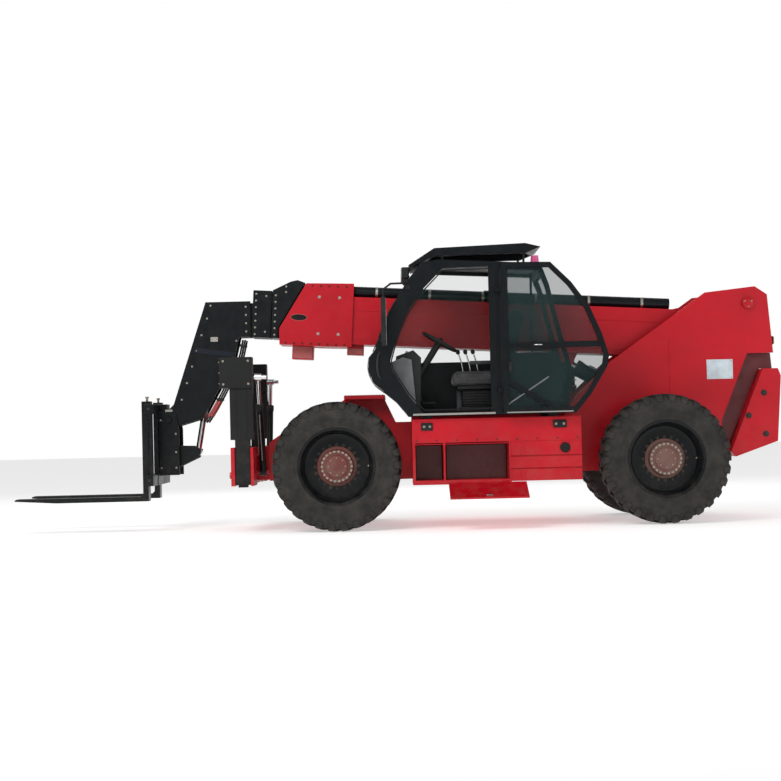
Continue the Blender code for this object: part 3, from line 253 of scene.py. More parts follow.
# A lighter, bluer black than the black enamel: a painted reflection on the drop head's side.
PAINTED_REFLECTION_BLUE = enamel("blue_black_painted_reflection", (0.0065, 0.0085, 0.018), (0.008, 0.011, 0.022), 0.45, 0.2,
                   0.0, 0.25)
HUB_PAINT = enamel("hub_brown", (0.16, 0.030, 0.025), (0.10, 0.028, 0.022), 0.55, 0.9, 0.0)
WORN_HUB = enamel("worn_hub", (0.22, 0.10, 0.08), (0.10, 0.035, 0.03), 0.6, 1.0, 0.0)
CAST = enamel("cast_black", (0.014, 0.014, 0.014), (0.03, 0.025, 0.02), 0.65, 0.9, 0.0)
TYRE = rubber("tyre_rubber_worn", (0.016, 0.0155, 0.0145), (0.070, 0.062, 0.052), 0.62)
HOSE = rubber("hose_rubber", (0.008, 0.008, 0.0085), (0.05, 0.045, 0.04), 0.3)
SEAL = rubber("seal_rubber", (0.006, 0.006, 0.006), (0.03, 0.03, 0.03), 0.2)
CHROME = metal("chrome_bar", (0.72, 0.72, 0.73), 0.10, 0.08)
STEEL = metal("plain_steel", (0.46, 0.44, 0.41), 0.38, 0.45)
ZINC = metal("zinc_bolts", (0.40, 0.36, 0.30), 0.42, 0.5)
DARK_PLASTIC = moulded("black_plastic", (0.0055, 0.0060, 0.0068))
GREY_PLASTIC = moulded("grey_plastic", (0.11, 0.115, 0.12))
SEAT_VINYL = vinyl("seat_vinyl_black", (0.014, 0.014, 0.015))
GLASS = tinted_glass("teal_glass", (0.06, 0.14, 0.13), 0.12)
DOOR_GLASS = tinted_glass("door_teal_glass", (0.012, 0.032, 0.032), 0.34)
MIRROR_GLASS = metal("mirror_silver", (0.85, 0.87, 0.88), 0.03, 0.0)
CLEAR_LENS = lens("lamp_clear", (0.80, 0.82, 0.84), 0.0)
AMBER_LENS = lens("lamp_amber", (0.80, 0.22, 0.01), 0.05)
TAIL_LENS = lens("lamp_red", (0.55, 0.01, 0.01), 0.05)
SIGN = moulded("blank_sign", (0.50, 0.56, 0.60), 0.35)


# ---------------------------------------------------------------- shape helpers
def finish_piece(name, form, material, body, smooth=35.0, bevel=0.0, matrix=None):
    """Makes an object of a bmesh, gives it its material and lets it ride a body."""
    if matrix is not None:
        bmesh.ops.transform(form, matrix=matrix, verts=form.verts)
    bmesh.ops.recalc_face_normals(form, faces=form.faces)
    mesh = bpy.data.meshes.new(name)
    form.to_mesh(mesh)
    form.free()
    mesh.materials.append(material)
    mesh.shade_smooth()
    mesh.set_sharp_from_angle(angle=math.radians(smooth))
    piece = bpy.data.objects.new(name, mesh)
    bpy.context.scene.collection.objects.link(piece)
    if bevel:
        edge = piece.modifiers.new("edge", "BEVEL")
        edge.width = bevel
        edge.segments = 2
        edge.limit_method = "ANGLE"
        edge.angle_limit = math.radians(40)
    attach(piece, body)
    return piece


def add_box(form, x, y, z, matrix=None):
    size = Vector((x[1] - x[0], y[1] - y[0], z[1] - z[0]))
    middle = Vector((x[0] + x[1], y[0] + y[1], z[0] + z[1])) / 2
    place = Matrix.Translation(middle) @ Matrix.Diagonal((*[abs(side) for side in size], 1))
    made = bmesh.ops.create_cube(form, size=1.0, matrix=(matrix or Matrix.Identity(4)) @ place)
    return made["verts"]


def add_rod(form, start, end, radius, sides=24, far_radius=None):
    start, end = Vector(start), Vector(end)
    line = end - start
    turn = line.to_track_quat("Z", "Y").to_matrix().to_4x4()
    made = bmesh.ops.create_cone(
        form, cap_ends=True, segments=sides, radius1=radius,
        radius2=radius if far_radius is None else far_radius,
        depth=line.length, matrix=Matrix.Translation(start + line / 2) @ turn,
    )
    return made["verts"]


def boxes(name, spans, material, body, bevel=0.003, matrix=None):
    form = bmesh.new()
    for x, y, z in spans:
        add_box(form, x, y, z)
    return finish_piece(name, form, material, body, bevel=bevel, matrix=matrix)


def add_outline(form, outline, low, high, plane="XZ"):
    """A flat outline extruded along Y (XZ), X (YZ) or Z (XY)."""
    def place(a, b, c):
        return {"XZ": (a, c, b), "YZ": (c, a, b), "XY": (a, b, c)}[plane]
    first = [form.verts.new(place(a, b, low)) for a, b in outline]
    second = [form.verts.new(place(a, b, high)) for a, b in outline]
    form.faces.new(first)
    form.faces.new(second[::-1])
    count = len(outline)
    for here in range(count):
        there = (here + 1) % count
        form.faces.new((first[here], first[there], second[there], second[here]))


def plate(name, outline, low, high, material, body, plane="XZ", bevel=0.002, matrix=None):
    form = bmesh.new()
    add_outline(form, outline, low, high, plane)
    return finish_piece(name, form, material, body, bevel=bevel, matrix=matrix)


def pipe(name, points, radius, material, body, matrix=None, ring=False, resolution=3,
         handles="AUTO"):
    """A smooth bent pipe through the points."""
    curve = bpy.data.curves.new(name, "CURVE")
    curve.dimensions = "3D"
    curve.bevel_depth = radius
    curve.bevel_resolution = resolution
    curve.use_fill_caps = True
    curve.resolution_u = 6
    spline = curve.splines.new("BEZIER")
    spline.bezier_points.add(len(points) - 1)
    for knot, place in zip(spline.bezier_points, points):
        knot.co = (matrix @ Vector(place)) if matrix is not None else Vector(place)
        knot.handle_left_type = handles
        knot.handle_right_type = handles
    spline.use_cyclic_u = ring
    curve.materials.append(material)
    piece = bpy.data.objects.new(name, curve)
    bpy.context.scene.collection.objects.link(piece)
    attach(piece, body)
    return piece


def bolts(name, places, normal, radius, material, body, height=None, washer=True, matrix=None):
    """Hexagon heads on washers, joined in one mesh, standing on their places along normal."""
    normal = Vector(normal).normalized()
    height = height or radius * 1.1
    form = bmesh.new()
    for place in places:
        foot = Vector(place)
        if washer:
            add_rod(form, foot, foot + normal * height * 0.25, radius * 1.35, 20)
        add_rod(form, foot, foot + normal * height, radius, 6, radius * 0.93)
        add_rod(form, foot + normal * height * 0.9, foot + normal * height * 1.25, radius * 0.5, 12)
    return finish_piece(name, form, material, body, matrix=matrix)


def turned(name, profile, material, body, centre, axis, steps=96, smooth=40.0):
    """A shape turned from (radius, height) points about axis through centre."""
    form = bmesh.new()
    rings = []
    for radius, height in profile:
        if radius < 1e-6:
            rings.append([form.verts.new((0, 0, height))])
            continue
        rings.append([
            form.verts.new((radius * math.cos(turn), radius * math.sin(turn), height))
            for turn in circle_turns(steps)
        ])
    for lower, upper in zip(rings, rings[1:]):
        for here in range(steps):
            there = (here + 1) % steps
            if len(lower) == 1:
                form.faces.new((lower[0], upper[here], upper[there]))
            elif len(upper) == 1:
                form.faces.new((lower[here], lower[there], upper[0]))
            else:
                form.faces.new((lower[here], lower[there], upper[there], upper[here]))
    turn = Vector(axis).to_track_quat("Z", "Y").to_matrix().to_4x4()
    return finish_piece(name, form, material, body, smooth,
                        matrix=Matrix.Translation(centre) @ turn)


def span(first, last, count):
    """Evenly spaced values from first to last."""
    return [first + (last - first) * step / (count - 1) for step in range(count)]


def circle_turns(count):
    """The angles of count even steps round a circle."""
    return [2 * math.pi * step / count for step in range(count)]


def circle(count, radius, height=0.0):
    """Points round the Z axis."""
    return [Vector((radius * math.cos(turn), radius * math.sin(turn), height))
            for turn in circle_turns(count)]


# ---------------------------------------------------------------- the frame's own surfaces
EDGE_WIDTH = 0.003
SHARP = math.radians(35)  # an edge this sharp is rounded
SPLIT = math.radians(38)  # and one still this sharp after that is shaded as two faces
WELD_GAP = 0.00005
ROUNDED = {"chassis_frame": 0.004, "boom_outer": 0.004, "boom_head": 0.004, "counterweight": 0.012}


def dress(node_name, material):
    """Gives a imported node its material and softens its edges."""
    node = nodes[node_name]
    node.data.materials.clear()
    node.data.materials.append(material)
    if "custom_normal" in node.data.attributes:
        node.data.attributes.remove(node.data.attributes["custom_normal"])
    node.data.shade_smooth()
    weld = node.modifiers.new("weld", "WELD")
    weld.merge_threshold = WELD_GAP
    if "cylinder" in node_name or "knuckle" in node_name or "axle" in node_name:
        width = 0.0
    else:
        width = ROUNDED.get(node_name, EDGE_WIDTH)
    if width:
        edge = node.modifiers.new("edge", "BEVEL")
        edge.width = width
        edge.segments = 2
        edge.limit_method = "ANGLE"
        edge.angle_limit = SHARP
        edge.harden_normals = True
    split = node.modifiers.new("split", "EDGE_SPLIT")
    split.split_angle = SPLIT


PAINTED = (
    (RED, ("chassis_frame", "counterweight", "side_box", "fuel_tank", "toolbox_door",
           "engine_pod", "engine_hood", "boom_outer")),
    (BLACK, ("cab_frame", "cab_door", "roof_guard", "boom_section_2", "boom_section_3",
             "boom_section_4", "boom_head", "carriage", "fork_left", "fork_right", "hose_cover")),
    (CAST, ("engine_block", "exhaust", "front_axle", "rear_axle")),
)
PAINTED_BY_START = {"knuckle": CAST, "stabiliser_leg": LEG_BLACK, "mirror": DARK_PLASTIC}
PAINTED_BY_END = {"_barrel": BLACK, "_rod": CHROME, "window": GLASS, "windscreen": GLASS}


def dress_frame():
    """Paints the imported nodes, apart from the beacon, which keeps its packed colour."""
    for material, names in PAINTED:
        for name in names:
            dress(name, material)
    for name in nodes:
        for start, material in PAINTED_BY_START.items():
            if name.startswith(start):
                dress(name, material)
        for end, material in PAINTED_BY_END.items():
            if name.endswith(end):
                dress(name, material)
    dress("door_glass", DOOR_GLASS)
    dress("steering_console", DARK_PLASTIC)


dress_frame()


# ---------------------------------------------------------------- tyres, rims and hubs
TREAD_RADIUS = 0.6715
LUGS = 30
TYRE_STEPS = 96
LUG_FLARE = 1.15  # a bar's foot is this much wider than its top


def wheel_centre(end, name):
    return Vector(JOINTS[f"wheel_{end}_{name}_spin"]["pos_m"])


# Profiles: (radius, distance across), from the bead over the sidewall to the crown.
CARCASS = [
    (0.381, 0.166), (0.392, 0.184), (0.415, 0.194), (0.440, 0.199), (0.444, 0.203), (0.452, 0.203),
    (0.456, 0.200), (0.500, 0.209), (0.505, 0.213), (0.512, 0.213), (0.516, 0.210), (0.560, 0.2145),
    (0.600, 0.208), (0.628, 0.192), (0.642, 0.165), (0.646, 0.100), (0.647, 0.0),
]
LUG_TOP = [(0.6715, -0.022), (0.6720, 0.060), (0.6700, 0.135), (0.6630, 0.182), (0.6430, 0.2140),
           (0.5950, 0.2215)]
LUG_FOOT = [(0.640, -0.022), (0.640, 0.060), (0.636, 0.135), (0.622, 0.170), (0.608, 0.190),
            (0.585, 0.203)]
LUG_SWEEP = [0.066, 0.036, 0.010, 0.0, 0.0, 0.0]
LUG_HALF = [0.020, 0.026, 0.032, 0.035, 0.035, 0.030]


def add_lug(form, turn, side):
    """One tread bar from near the crown, over the shoulder and down the sidewall."""
    sections = []
    for (top, y), (foot, foot_y), sweep, half in zip(LUG_TOP, LUG_FOOT, LUG_SWEEP, LUG_HALF):
        corners = []
        for radius, across, spread in ((top, y, -half), (top, y, half),
                                       (foot, foot_y, half * LUG_FLARE),
                                       (foot, foot_y, -half * LUG_FLARE)):
            angle = turn + (sweep + spread) / TREAD_RADIUS
            corners.append(form.verts.new((radius * math.cos(angle), radius * math.sin(angle),
                                           side * across)))
        sections.append(corners)
    form.faces.new(sections[0])
    form.faces.new(sections[-1][::-1])
    for lower, upper in zip(sections, sections[1:]):
        for here in range(4):
            there = (here + 1) % 4
            form.faces.new((lower[here], lower[there], upper[there], upper[here]))


def tyre(end, name, side):
    """Carcass with sidewall rings, and a staggered bar tread."""
    centre = wheel_centre(end, name)
    body = f"wheel_{end}_{name}"
    steps = TYRE_STEPS
    profile = CARCASS + [(radius, -y) for radius, y in reversed(CARCASS[:-1])]
    form = bmesh.new()
    rings = [
        [form.verts.new((radius * math.cos(turn), radius * math.sin(turn), y))
         for turn in circle_turns(steps)]
        for radius, y in profile
    ]
    for lower, upper in zip(rings, rings[1:] + rings[:1]):
        for here in range(steps):
            there = (here + 1) % steps
            form.faces.new((lower[here], lower[there], upper[there], upper[here]))
    bmesh.ops.recalc_face_normals(form, faces=form.faces)
    pitch = 2 * math.pi / LUGS
    for number in range(LUGS):
        add_lug(form, number * pitch, 1)
        add_lug(form, (number + 0.5) * pitch, -1)
    turn = Matrix.Translation(centre) @ Matrix.Rotation(-math.pi / 2 * side, 4, "X")
    piece = finish_piece(f"tread_{end}_{name}", form, TYRE, body, 40.0, 0.004, matrix=turn)
    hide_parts(f"tyre_{end}_{name}")


RIM = [
    (0.0, 0.012), (0.240, 0.012), (0.300, 0.004), (0.335, 0.010), (0.346, 0.060), (0.352, 0.120),
    (0.362, 0.168), (0.378, 0.188), (0.398, 0.192), (0.403, 0.187), (0.400, 0.178), (0.382, 0.168),
    (0.3795, 0.150), (0.3795, -0.150), (0.400, -0.178), (0.400, -0.190), (0.370, -0.188),
    (0.346, -0.150), (0.340, -0.020), (0.300, -0.0085), (0.0, -0.0085),
]
HUB = [
    (0.205, 0.010), (0.208, 0.026), (0.200, 0.032), (0.176, 0.034), (0.172, 0.060), (0.170, 0.112),
    (0.166, 0.124), (0.138, 0.130), (0.132, 0.126), (0.120, 0.128), (0.112, 0.142), (0.060, 0.149),
       (0.0, 0.150),
]


def wheel_fittings(end, name, side):
    """Deep-dish rim, planetary hub, its ring of bolts, wheel nuts and valve."""
    centre = wheel_centre(end, name)
    body = f"wheel_{end}_{name}"
    axis = Vector((0, side, 0))
    rim = turned(f"dish_{end}_{name}", RIM, BLACK, body, centre, axis)
    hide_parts(f"rim_{end}_{name}")
    paint = WORN_HUB if end == "rear" else HUB_PAINT
    turned(f"hub_{end}_{name}", HUB, paint, body, centre, axis, 72)
    turn = Matrix.Translation(centre) @ axis.to_track_quat("Z", "Y").to_matrix().to_4x4()
    bolts(f"hub_bolts_{end}_{name}", circle(22, 0.152, 0.126), UP, 0.0105, ZINC, body, matrix=turn)
    bolts(f"cover_bolts_{end}_{name}", circle(8, 0.088, 0.144), UP, 0.008, ZINC, body, 0.005, False,
          turn)
    bolts(f"wheel_nuts_{end}_{name}", circle(20, 0.226, 0.012), UP, 0.015, CAST, body, 0.024,
          matrix=turn)
    form = bmesh.new()
    add_rod(form, (0.325, 0, 0.006), (0.325, 0, 0.055), 0.006, 12)
    add_rod(form, (0.325, 0, 0.040), (0.325, 0, 0.060), 0.0085, 12)
    finish_piece(f"valve_{end}_{name}", form, ZINC, body, matrix=turn)


for end, name, side in WHEELS:
    tyre(end, name, side)
    wheel_fittings(end, name, side)


# ---------------------------------------------------------------- places
DRAWING_X = -1.06  # from the drawing's X to the frame's
BOOM_PIVOT = Vector((-3.80, 0, 2.31))
BOOM_RISE = math.radians(3.6)
DOOR_HINGE = Vector((0, 1.165, 0.472))
DOOR_DROOP = math.radians(20)
LIFT_PIN = Vector((-3.31, 0, 0.90))
LIFT_LINE = Vector((0.86559, 0, 0.500753))
LIFT_BARREL = 1.55
TILT_PIN = Vector((1.98, 0, 2.07))
TILT_EYE = Vector((2.20, 0, 0.844))
TILT_BARREL = 0.70
LEG_Y = 0.97
LEG_BARREL = 0.80
FORK_Y = 0.42
FRAME_Y = 0.400  # the outer face of the chassis side plates
COLLAR = 0.030  # how far the outer section's collar stands out from its side
POD_SIDE = -1.150
BOX_SIDE = 1.1504  # just off the side box's face, as are the skins below
BOX_SKIN = 1.1502
CAB_SKIN = 1.2003
CAB_FLOOR = 1.2153
OPEN_DOOR = 1.2904
SKIN = 0.0004

HERE = Matrix.Translation((DRAWING_X, 0, 0))
BOOM = Matrix.Translation(BOOM_PIVOT) @ Matrix.Rotation(-BOOM_RISE, 4, "Y")
DROOP = (Matrix.Translation(DOOR_HINGE) @ Matrix.Rotation(-DOOR_DROOP, 4, "X")
         @ Matrix.Translation(-DOOR_HINGE))


# ---------------------------------------------------------------- boom
def boom_skin():
    """The outer section's pressed ribs, collar bolts, slots drawn as painted shade with a painted
    highlight, pad adjusters and hose clamps.
    """
    half = 0.210
    for name, side in SIDES:
        ribs = []
        for x, z, deep, proud in (((0.95, 4.20), (-0.232, -0.222), 0.0, 0.005),
                                  ((0.95, 4.20), (-0.545, -0.538), 0.0, 0.004),
                                  ((0.95, 4.20), (-0.572, -0.565), 0.0, 0.004)):
            ribs.append((x, sorted((side * (half - deep), side * (half + proud))), z))
        boxes(f"boom_ribs_{name}", ribs, RED, "boom", 0.002, BOOM)
        face = side * (half + COLLAR)
        top_row = [(x, face, 0.020) for x in span(4.33, 4.70, 5)]
        foot_row = [(x, face, -0.612) for x in span(4.33, 4.97, 8)]
        bolts(f"collar_bolts_{name}", top_row + foot_row, (0, side, 0), 0.008, CAST, "boom",
              matrix=BOOM)
        edge_row = [(x, side * (half + 0.0005), -0.105) for x in span(1.05, 4.15, 12)]
        bolts(f"boom_plugs_{name}", edge_row, (0, side, 0), 0.006, RED, "boom", 0.003, False, BOOM)
        painted_slot(f"collar_slot_{name}", (4.835, face, -0.330), side, 0.085, 0.032)
        pads = [(x, sorted((side * 0.1103, side * 0.1125)), z)
                for x, z in (((4.68, 4.89), (-0.77, -0.64)), ((4.13, 4.29), (-0.70, -0.64)))]
        boxes(f"boom_lug_faces_{name}", pads, PALE_RED, "boom", 0.001, BOOM)
        adjusters = [(x, face, z) for x in (4.40, 4.62) for z in (-0.10, -0.50)]
        bolts(f"pad_adjusters_{name}", adjusters, (0, side, 0), 0.012, STEEL, "boom", 0.010,
              matrix=BOOM)
    for number, x in enumerate(span(1.1, 4.0, 6)):
        form = bmesh.new()
        add_rod(form, (x - 0.014, 0.09, -0.0207), (x + 0.014, 0.09, -0.0207), 0.0655, 32)
        finish_piece(f"hose_band_{number}", form, STEEL, "boom", bevel=0.002, matrix=BOOM)
    boxes("hose_clamp_plate", [((2.70, 2.83), (0.016, 0.164), (0.038, 0.046))], STEEL, "boom",
          0.002, BOOM)
    for number, y in enumerate((-0.02, -0.055, -0.09)):
        points = [(x, y, -0.070) for x in span(0.9, 4.2, 8)]
        pipe(f"boom_line_{number}", points, 0.010, STEEL if number == 0 else HOSE, "boom", BOOM)
    form = bmesh.new()
    for x in span(1.2, 4.1, 7):
        add_box(form, (x - 0.02, x + 0.02), (-0.11, 0.0), (-0.083, -0.052))
    finish_piece("line_clamps", form, CAST, "boom", bevel=0.003, matrix=BOOM)


def painted_slot(name, centre, side, half_long, half_high):
    """An oval hole: a black plate inside it as painted shade, and a paler red ring round it as a
    painted highlight.
    """
    x, y, z = centre
    turns = circle_turns(32)
    outline = [(x + half_long * math.cos(turn), z + half_high * math.sin(turn)) for turn in turns]
    # The black plate is painted shade inside the hole.
    low, high = sorted((y + side * 0.0003, y + side * 0.0016))
    plate(name, outline, low, high, SEAL, "boom", bevel=0.0, matrix=BOOM)
    # The paler red ring round it is a painted highlight on the hole's edge.
    edge = [(x + (half_long + 0.003) * math.cos(turn), y + side * 0.001,
             z + (half_high + 0.003) * math.sin(turn))
            for turn in turns]
    pipe(f"{name}_edge", edge, 0.0028, PALE_RED, "boom", BOOM, ring=True, resolution=2)


def section_bolts():
    """Wear-pad bolts round the inner sections' collars, and a raised strip on the third."""
    for name, side in SIDES:
        face = side * 0.235
        row = [(5.095, face, z) for z in span(-0.53, -0.10, 7)] + [(4.985, face, z)
                                                                   for z in (-0.06, 0.0)]
        bolts(f"section_2_bolts_{name}", row, (0, side, 0), 0.008, ZINC, "section_2", matrix=BOOM)
        face = side * 0.205
        row = [(5.31, face, z) for z in span(-0.53, -0.09, 7)] + [(5.20, face, z)
                                                                  for z in (-0.50, -0.11)]
        bolts(f"section_3_bolts_{name}", row, (0, side, 0), 0.008, ZINC, "section_3", matrix=BOOM)
        strip = [((5.155, 5.17), sorted((side * 0.205, side * 0.2075)), (-0.55, -0.06))]
        boxes(f"section_3_rib_{name}", strip, BLACK, "section_3", 0.001, BOOM)


def head_fittings():
    """Edge bolts, a thin band plate coloured as a painted reflection, pin keepers and hoses on the
    drop head.
    """
    outer = 0.1503
    for name, side in SIDES:
        normal = (0, side, 0)
        face = side * outer
        rear_row = [(2.69, 2.42), (2.69, 2.33), (2.69, 2.24), (2.69, 2.15), (2.80, 2.05),
                    (2.87, 1.86), (2.95, 1.70)]
        front_row = [(3.075, 2.44), (3.115, 2.30), (3.18, 2.12), (3.24, 1.95), (3.29, 1.78),
                     (3.35, 1.60), (3.41, 1.42)]
        row = [(x, face, z) for x, z in rear_row + front_row]
        bolts(f"head_bolts_{name}", row, normal, 0.008, ZINC, "section_4", matrix=HERE)
        # A thin plate across the head's side, coloured lighter blue black as a painted reflection.
        outline = [(2.812, 1.925), (3.255, 1.985), (3.272, 1.93), (2.835, 1.870)]
        low, high = sorted((face + side * SKIN, face + side * 0.0065))
        plate(f"head_band_painted_reflection_{name}", outline, low, high, PAINTED_REFLECTION_BLUE, "section_4", bevel=0.0015,
              matrix=HERE)
        keeper = [((3.00, 3.08), sorted((side * 0.1625, side * 0.1675)), (2.045, 2.095)),
                  ((3.515, 3.595), sorted((side * 0.1505, side * 0.1540)), (1.290, 1.315))]
        boxes(f"pin_keepers_{name}", keeper, STEEL, "section_4", 0.001, HERE)
        bolts(f"pin_keeper_bolts_{name}",
              [(3.015, side * 0.1675, 2.07), (3.065, side * 0.1675, 2.07)],
              normal, 0.007, ZINC, "section_4", matrix=HERE)
    rear = [(2.735, 2.06), (2.795, 1.83), (2.950, 1.54), (3.085, 1.30), (3.175, 1.165)]
    wrapped = [(3.03, 1.395), (3.085, 1.30), (3.13, 1.23)]
    for number, (y, back) in enumerate(((-0.108, 0.004), (-0.108, 0.030), (0.108, 0.004),
                                        (0.108, 0.030))):
        pipe(f"head_hose_{number}", [(x - back, y, z) for x, z in rear], 0.0102, HOSE, "section_4",
             HERE)
        pipe(f"hose_wrap_{number}", [(x - back, y, z) for x, z in wrapped], 0.0120, PALE_RED,
             "section_4", HERE)
    form = bmesh.new()
    for x, z in ((2.752, 2.0), (2.862, 1.70), (3.02, 1.415)):
        for low, high in ((-0.1200, -0.0970), (0.0970, 0.1200)):
            add_box(form, (x - 0.046, x + 0.014), (low, high), (z - 0.014, z + 0.014))
    finish_piece("head_hose_clamps", form, CAST, "section_4", bevel=0.003, matrix=HERE)


# ---------------------------------------------------------------- chassis
def tower_fittings():
    """Pivot caps, blank plate, lift-pin caps, counterweight bolts and tail lamps."""
    for name, side in SIDES:
        normal = (0, side, 0)
        axis = Vector(normal)
        centre = BOOM_PIVOT + Vector((0, side * 0.430, 0))
        profile = [(0.0, 0.0), (0.058, 0.0), (0.060, 0.004), (0.052, 0.010), (0.022, 0.012),
                   (0.0, 0.012)]
        turned(f"pivot_cap_{name}", profile, RED, "chassis", centre, axis, 48)
        places = [centre + Vector((0.040 * math.cos(turn), 0, 0.040 * math.sin(turn)))
                  for turn in (0.5, 2.6, 4.7)]
        bolts(f"pivot_cap_bolts_{name}", [place + axis * 0.008 for place in places], normal, 0.008,
              ZINC, "chassis")
        lift = LIFT_PIN + Vector((0, side * FRAME_Y, 0))
        profile = [(0.0, 0.0), (0.075, 0.0), (0.075, 0.010), (0.055, 0.016), (0.0, 0.016)]
        turned(f"lift_pin_cap_{name}", profile, RED, "chassis", lift, axis, 48)
        places = [lift + Vector((0.055 * math.cos(turn), side * 0.010, 0.055 * math.sin(turn)))
                  for turn in circle_turns(6)]
        bolts(f"lift_pin_bolts_{name}", places, normal, 0.008, ZINC, "chassis")
        face = side * 0.4800
        cast_bolts = [(-3.93, face, 1.34), (-3.76, face, 1.10), (-3.94, face, 0.90)]
        bolts(f"counterweight_bolts_{name}", cast_bolts, normal, 0.024, CAST, "chassis", 0.018)
        low, high = sorted((side * (FRAME_Y + 0.0005), side * (FRAME_Y + 0.004)))
        boxes(f"tower_plate_{name}", [((-3.62, -3.34), (low, high), (1.50, 1.71))], SIGN, "chassis",
              0.001)
        corners = [(x, side * (FRAME_Y + 0.004), z) for x in (-3.605, -3.355)
                   for z in (1.515, 1.695)]
        bolts(f"tower_plate_screws_{name}", corners, normal, 0.005, ZINC, "chassis", 0.003, False)
        seam = [((-2.95, -2.935), (low, high), (1.10, 1.95)),
                ((-1.6, -1.2), (low, high), (1.02, 1.032))]
        boxes(f"tower_seams_{name}", seam, RED, "chassis", 0.0012)
    for name, side in SIDES:
        y = side * 0.30
        boxes(f"tail_lamp_box_{name}", [((-4.078, -4.040), (y - 0.055, y + 0.055), (1.86, 1.95))],
              DARK_PLASTIC, "chassis", 0.006)
        boxes(f"tail_lamp_{name}", [((-4.086, -4.077), (y - 0.048, y), (1.868, 1.942))], TAIL_LENS,
              "chassis", 0.003)
        boxes(f"tail_flasher_{name}", [((-4.086, -4.077), (y, y + 0.048), (1.868, 1.942))],
              AMBER_LENS, "chassis", 0.003)
        # Dark red plates set in from the tower's sides: painted shade on recessed red plates.
        outline = [(-2.730, 1.772), (-2.434, 1.06), (-2.404, 0.74), (-2.492, 0.74), (-2.852, 1.604),
                   (-3.000, 1.604), (-2.985, 1.772)]
        low, high = sorted((side * 0.302, side * 0.310))
        plate(f"tail_infill_{name}", outline, low, high, DECK_RED, "chassis", bevel=0.001,
              matrix=HERE)


def deck_and_nose():
    """The ribbed deck behind the front wheels, leg pin caps, nose hoses and beam bolts."""
    ribs = [((x, x + 0.012), (-0.61, 0.61), (1.4102, 1.4170)) for x in span(0.145, 0.540, 14)]
    boxes("deck_ribs", ribs, DECK_RED, "chassis", 0.002)
    boxes("deck_skin", [((0.134, 0.561), (-0.615, 0.615), (1.4102, 1.4115))], DECK_RED, "chassis",
          0.0)
    for name, side in SIDES:
        places = [(1.7402, side * y, z) for y in (0.66, 0.72, 0.78) for z in (0.56, 0.70, 0.84)]
        bolts(f"beam_bolts_{name}", places, (1, 0, 0), 0.011, CAST, "chassis", 0.010)
        profile = [(0.0, 0.0), (0.030, 0.0), (0.030, 0.006), (0.024, 0.009), (0.0, 0.009)]
        turned(f"leg_pin_cap_{name}", profile, STEEL, "chassis",
               Vector((1.755, side * LEG_Y, 0.60)), AHEAD, 32)
    for number, y in enumerate((-0.24, -0.18, 0.18, 0.24)):
        points = [(1.05, y, 0.63), (1.22, y * 1.05, 0.66), (1.33, y * 1.2, 0.80),
                  (1.40, y * 1.3, 0.91)]
        pipe(f"nose_hose_{number}", points, 0.010, HOSE, "chassis")


def under_frame():
    """Driveline and transfer box between the side plates, seen through the gap under the cab."""
    for number, (start, end) in enumerate((((0.35, 0.0, 0.70), (-1.20, 0.0, 0.74)),
                                           ((-1.20, 0.0, 0.74), (-2.50, 0.0, 0.70)))):
        form = bmesh.new()
        first, last = Vector(start), Vector(end)
        line = (last - first).normalized()
        add_rod(form, first, last, 0.038, 32)
        for place in (first, last):
            inward = line if place == first else -line
            add_rod(form, place, place + inward * 0.07, 0.058, 32)
            add_rod(form, place + inward * 0.10, place + inward * 0.13, 0.050, 32)
        finish_piece(f"drive_shaft_{number}", form, CAST, "chassis", bevel=0.002)
    form = bmesh.new()
    add_box(form, (-1.42, -1.02), (-0.16, 0.16), (0.585, 0.86))
    add_box(form, (-1.36, -1.08), (-0.20, 0.20), (0.63, 0.80))
    finish_piece("transfer_box", form, CAST, "chassis", bevel=0.02)


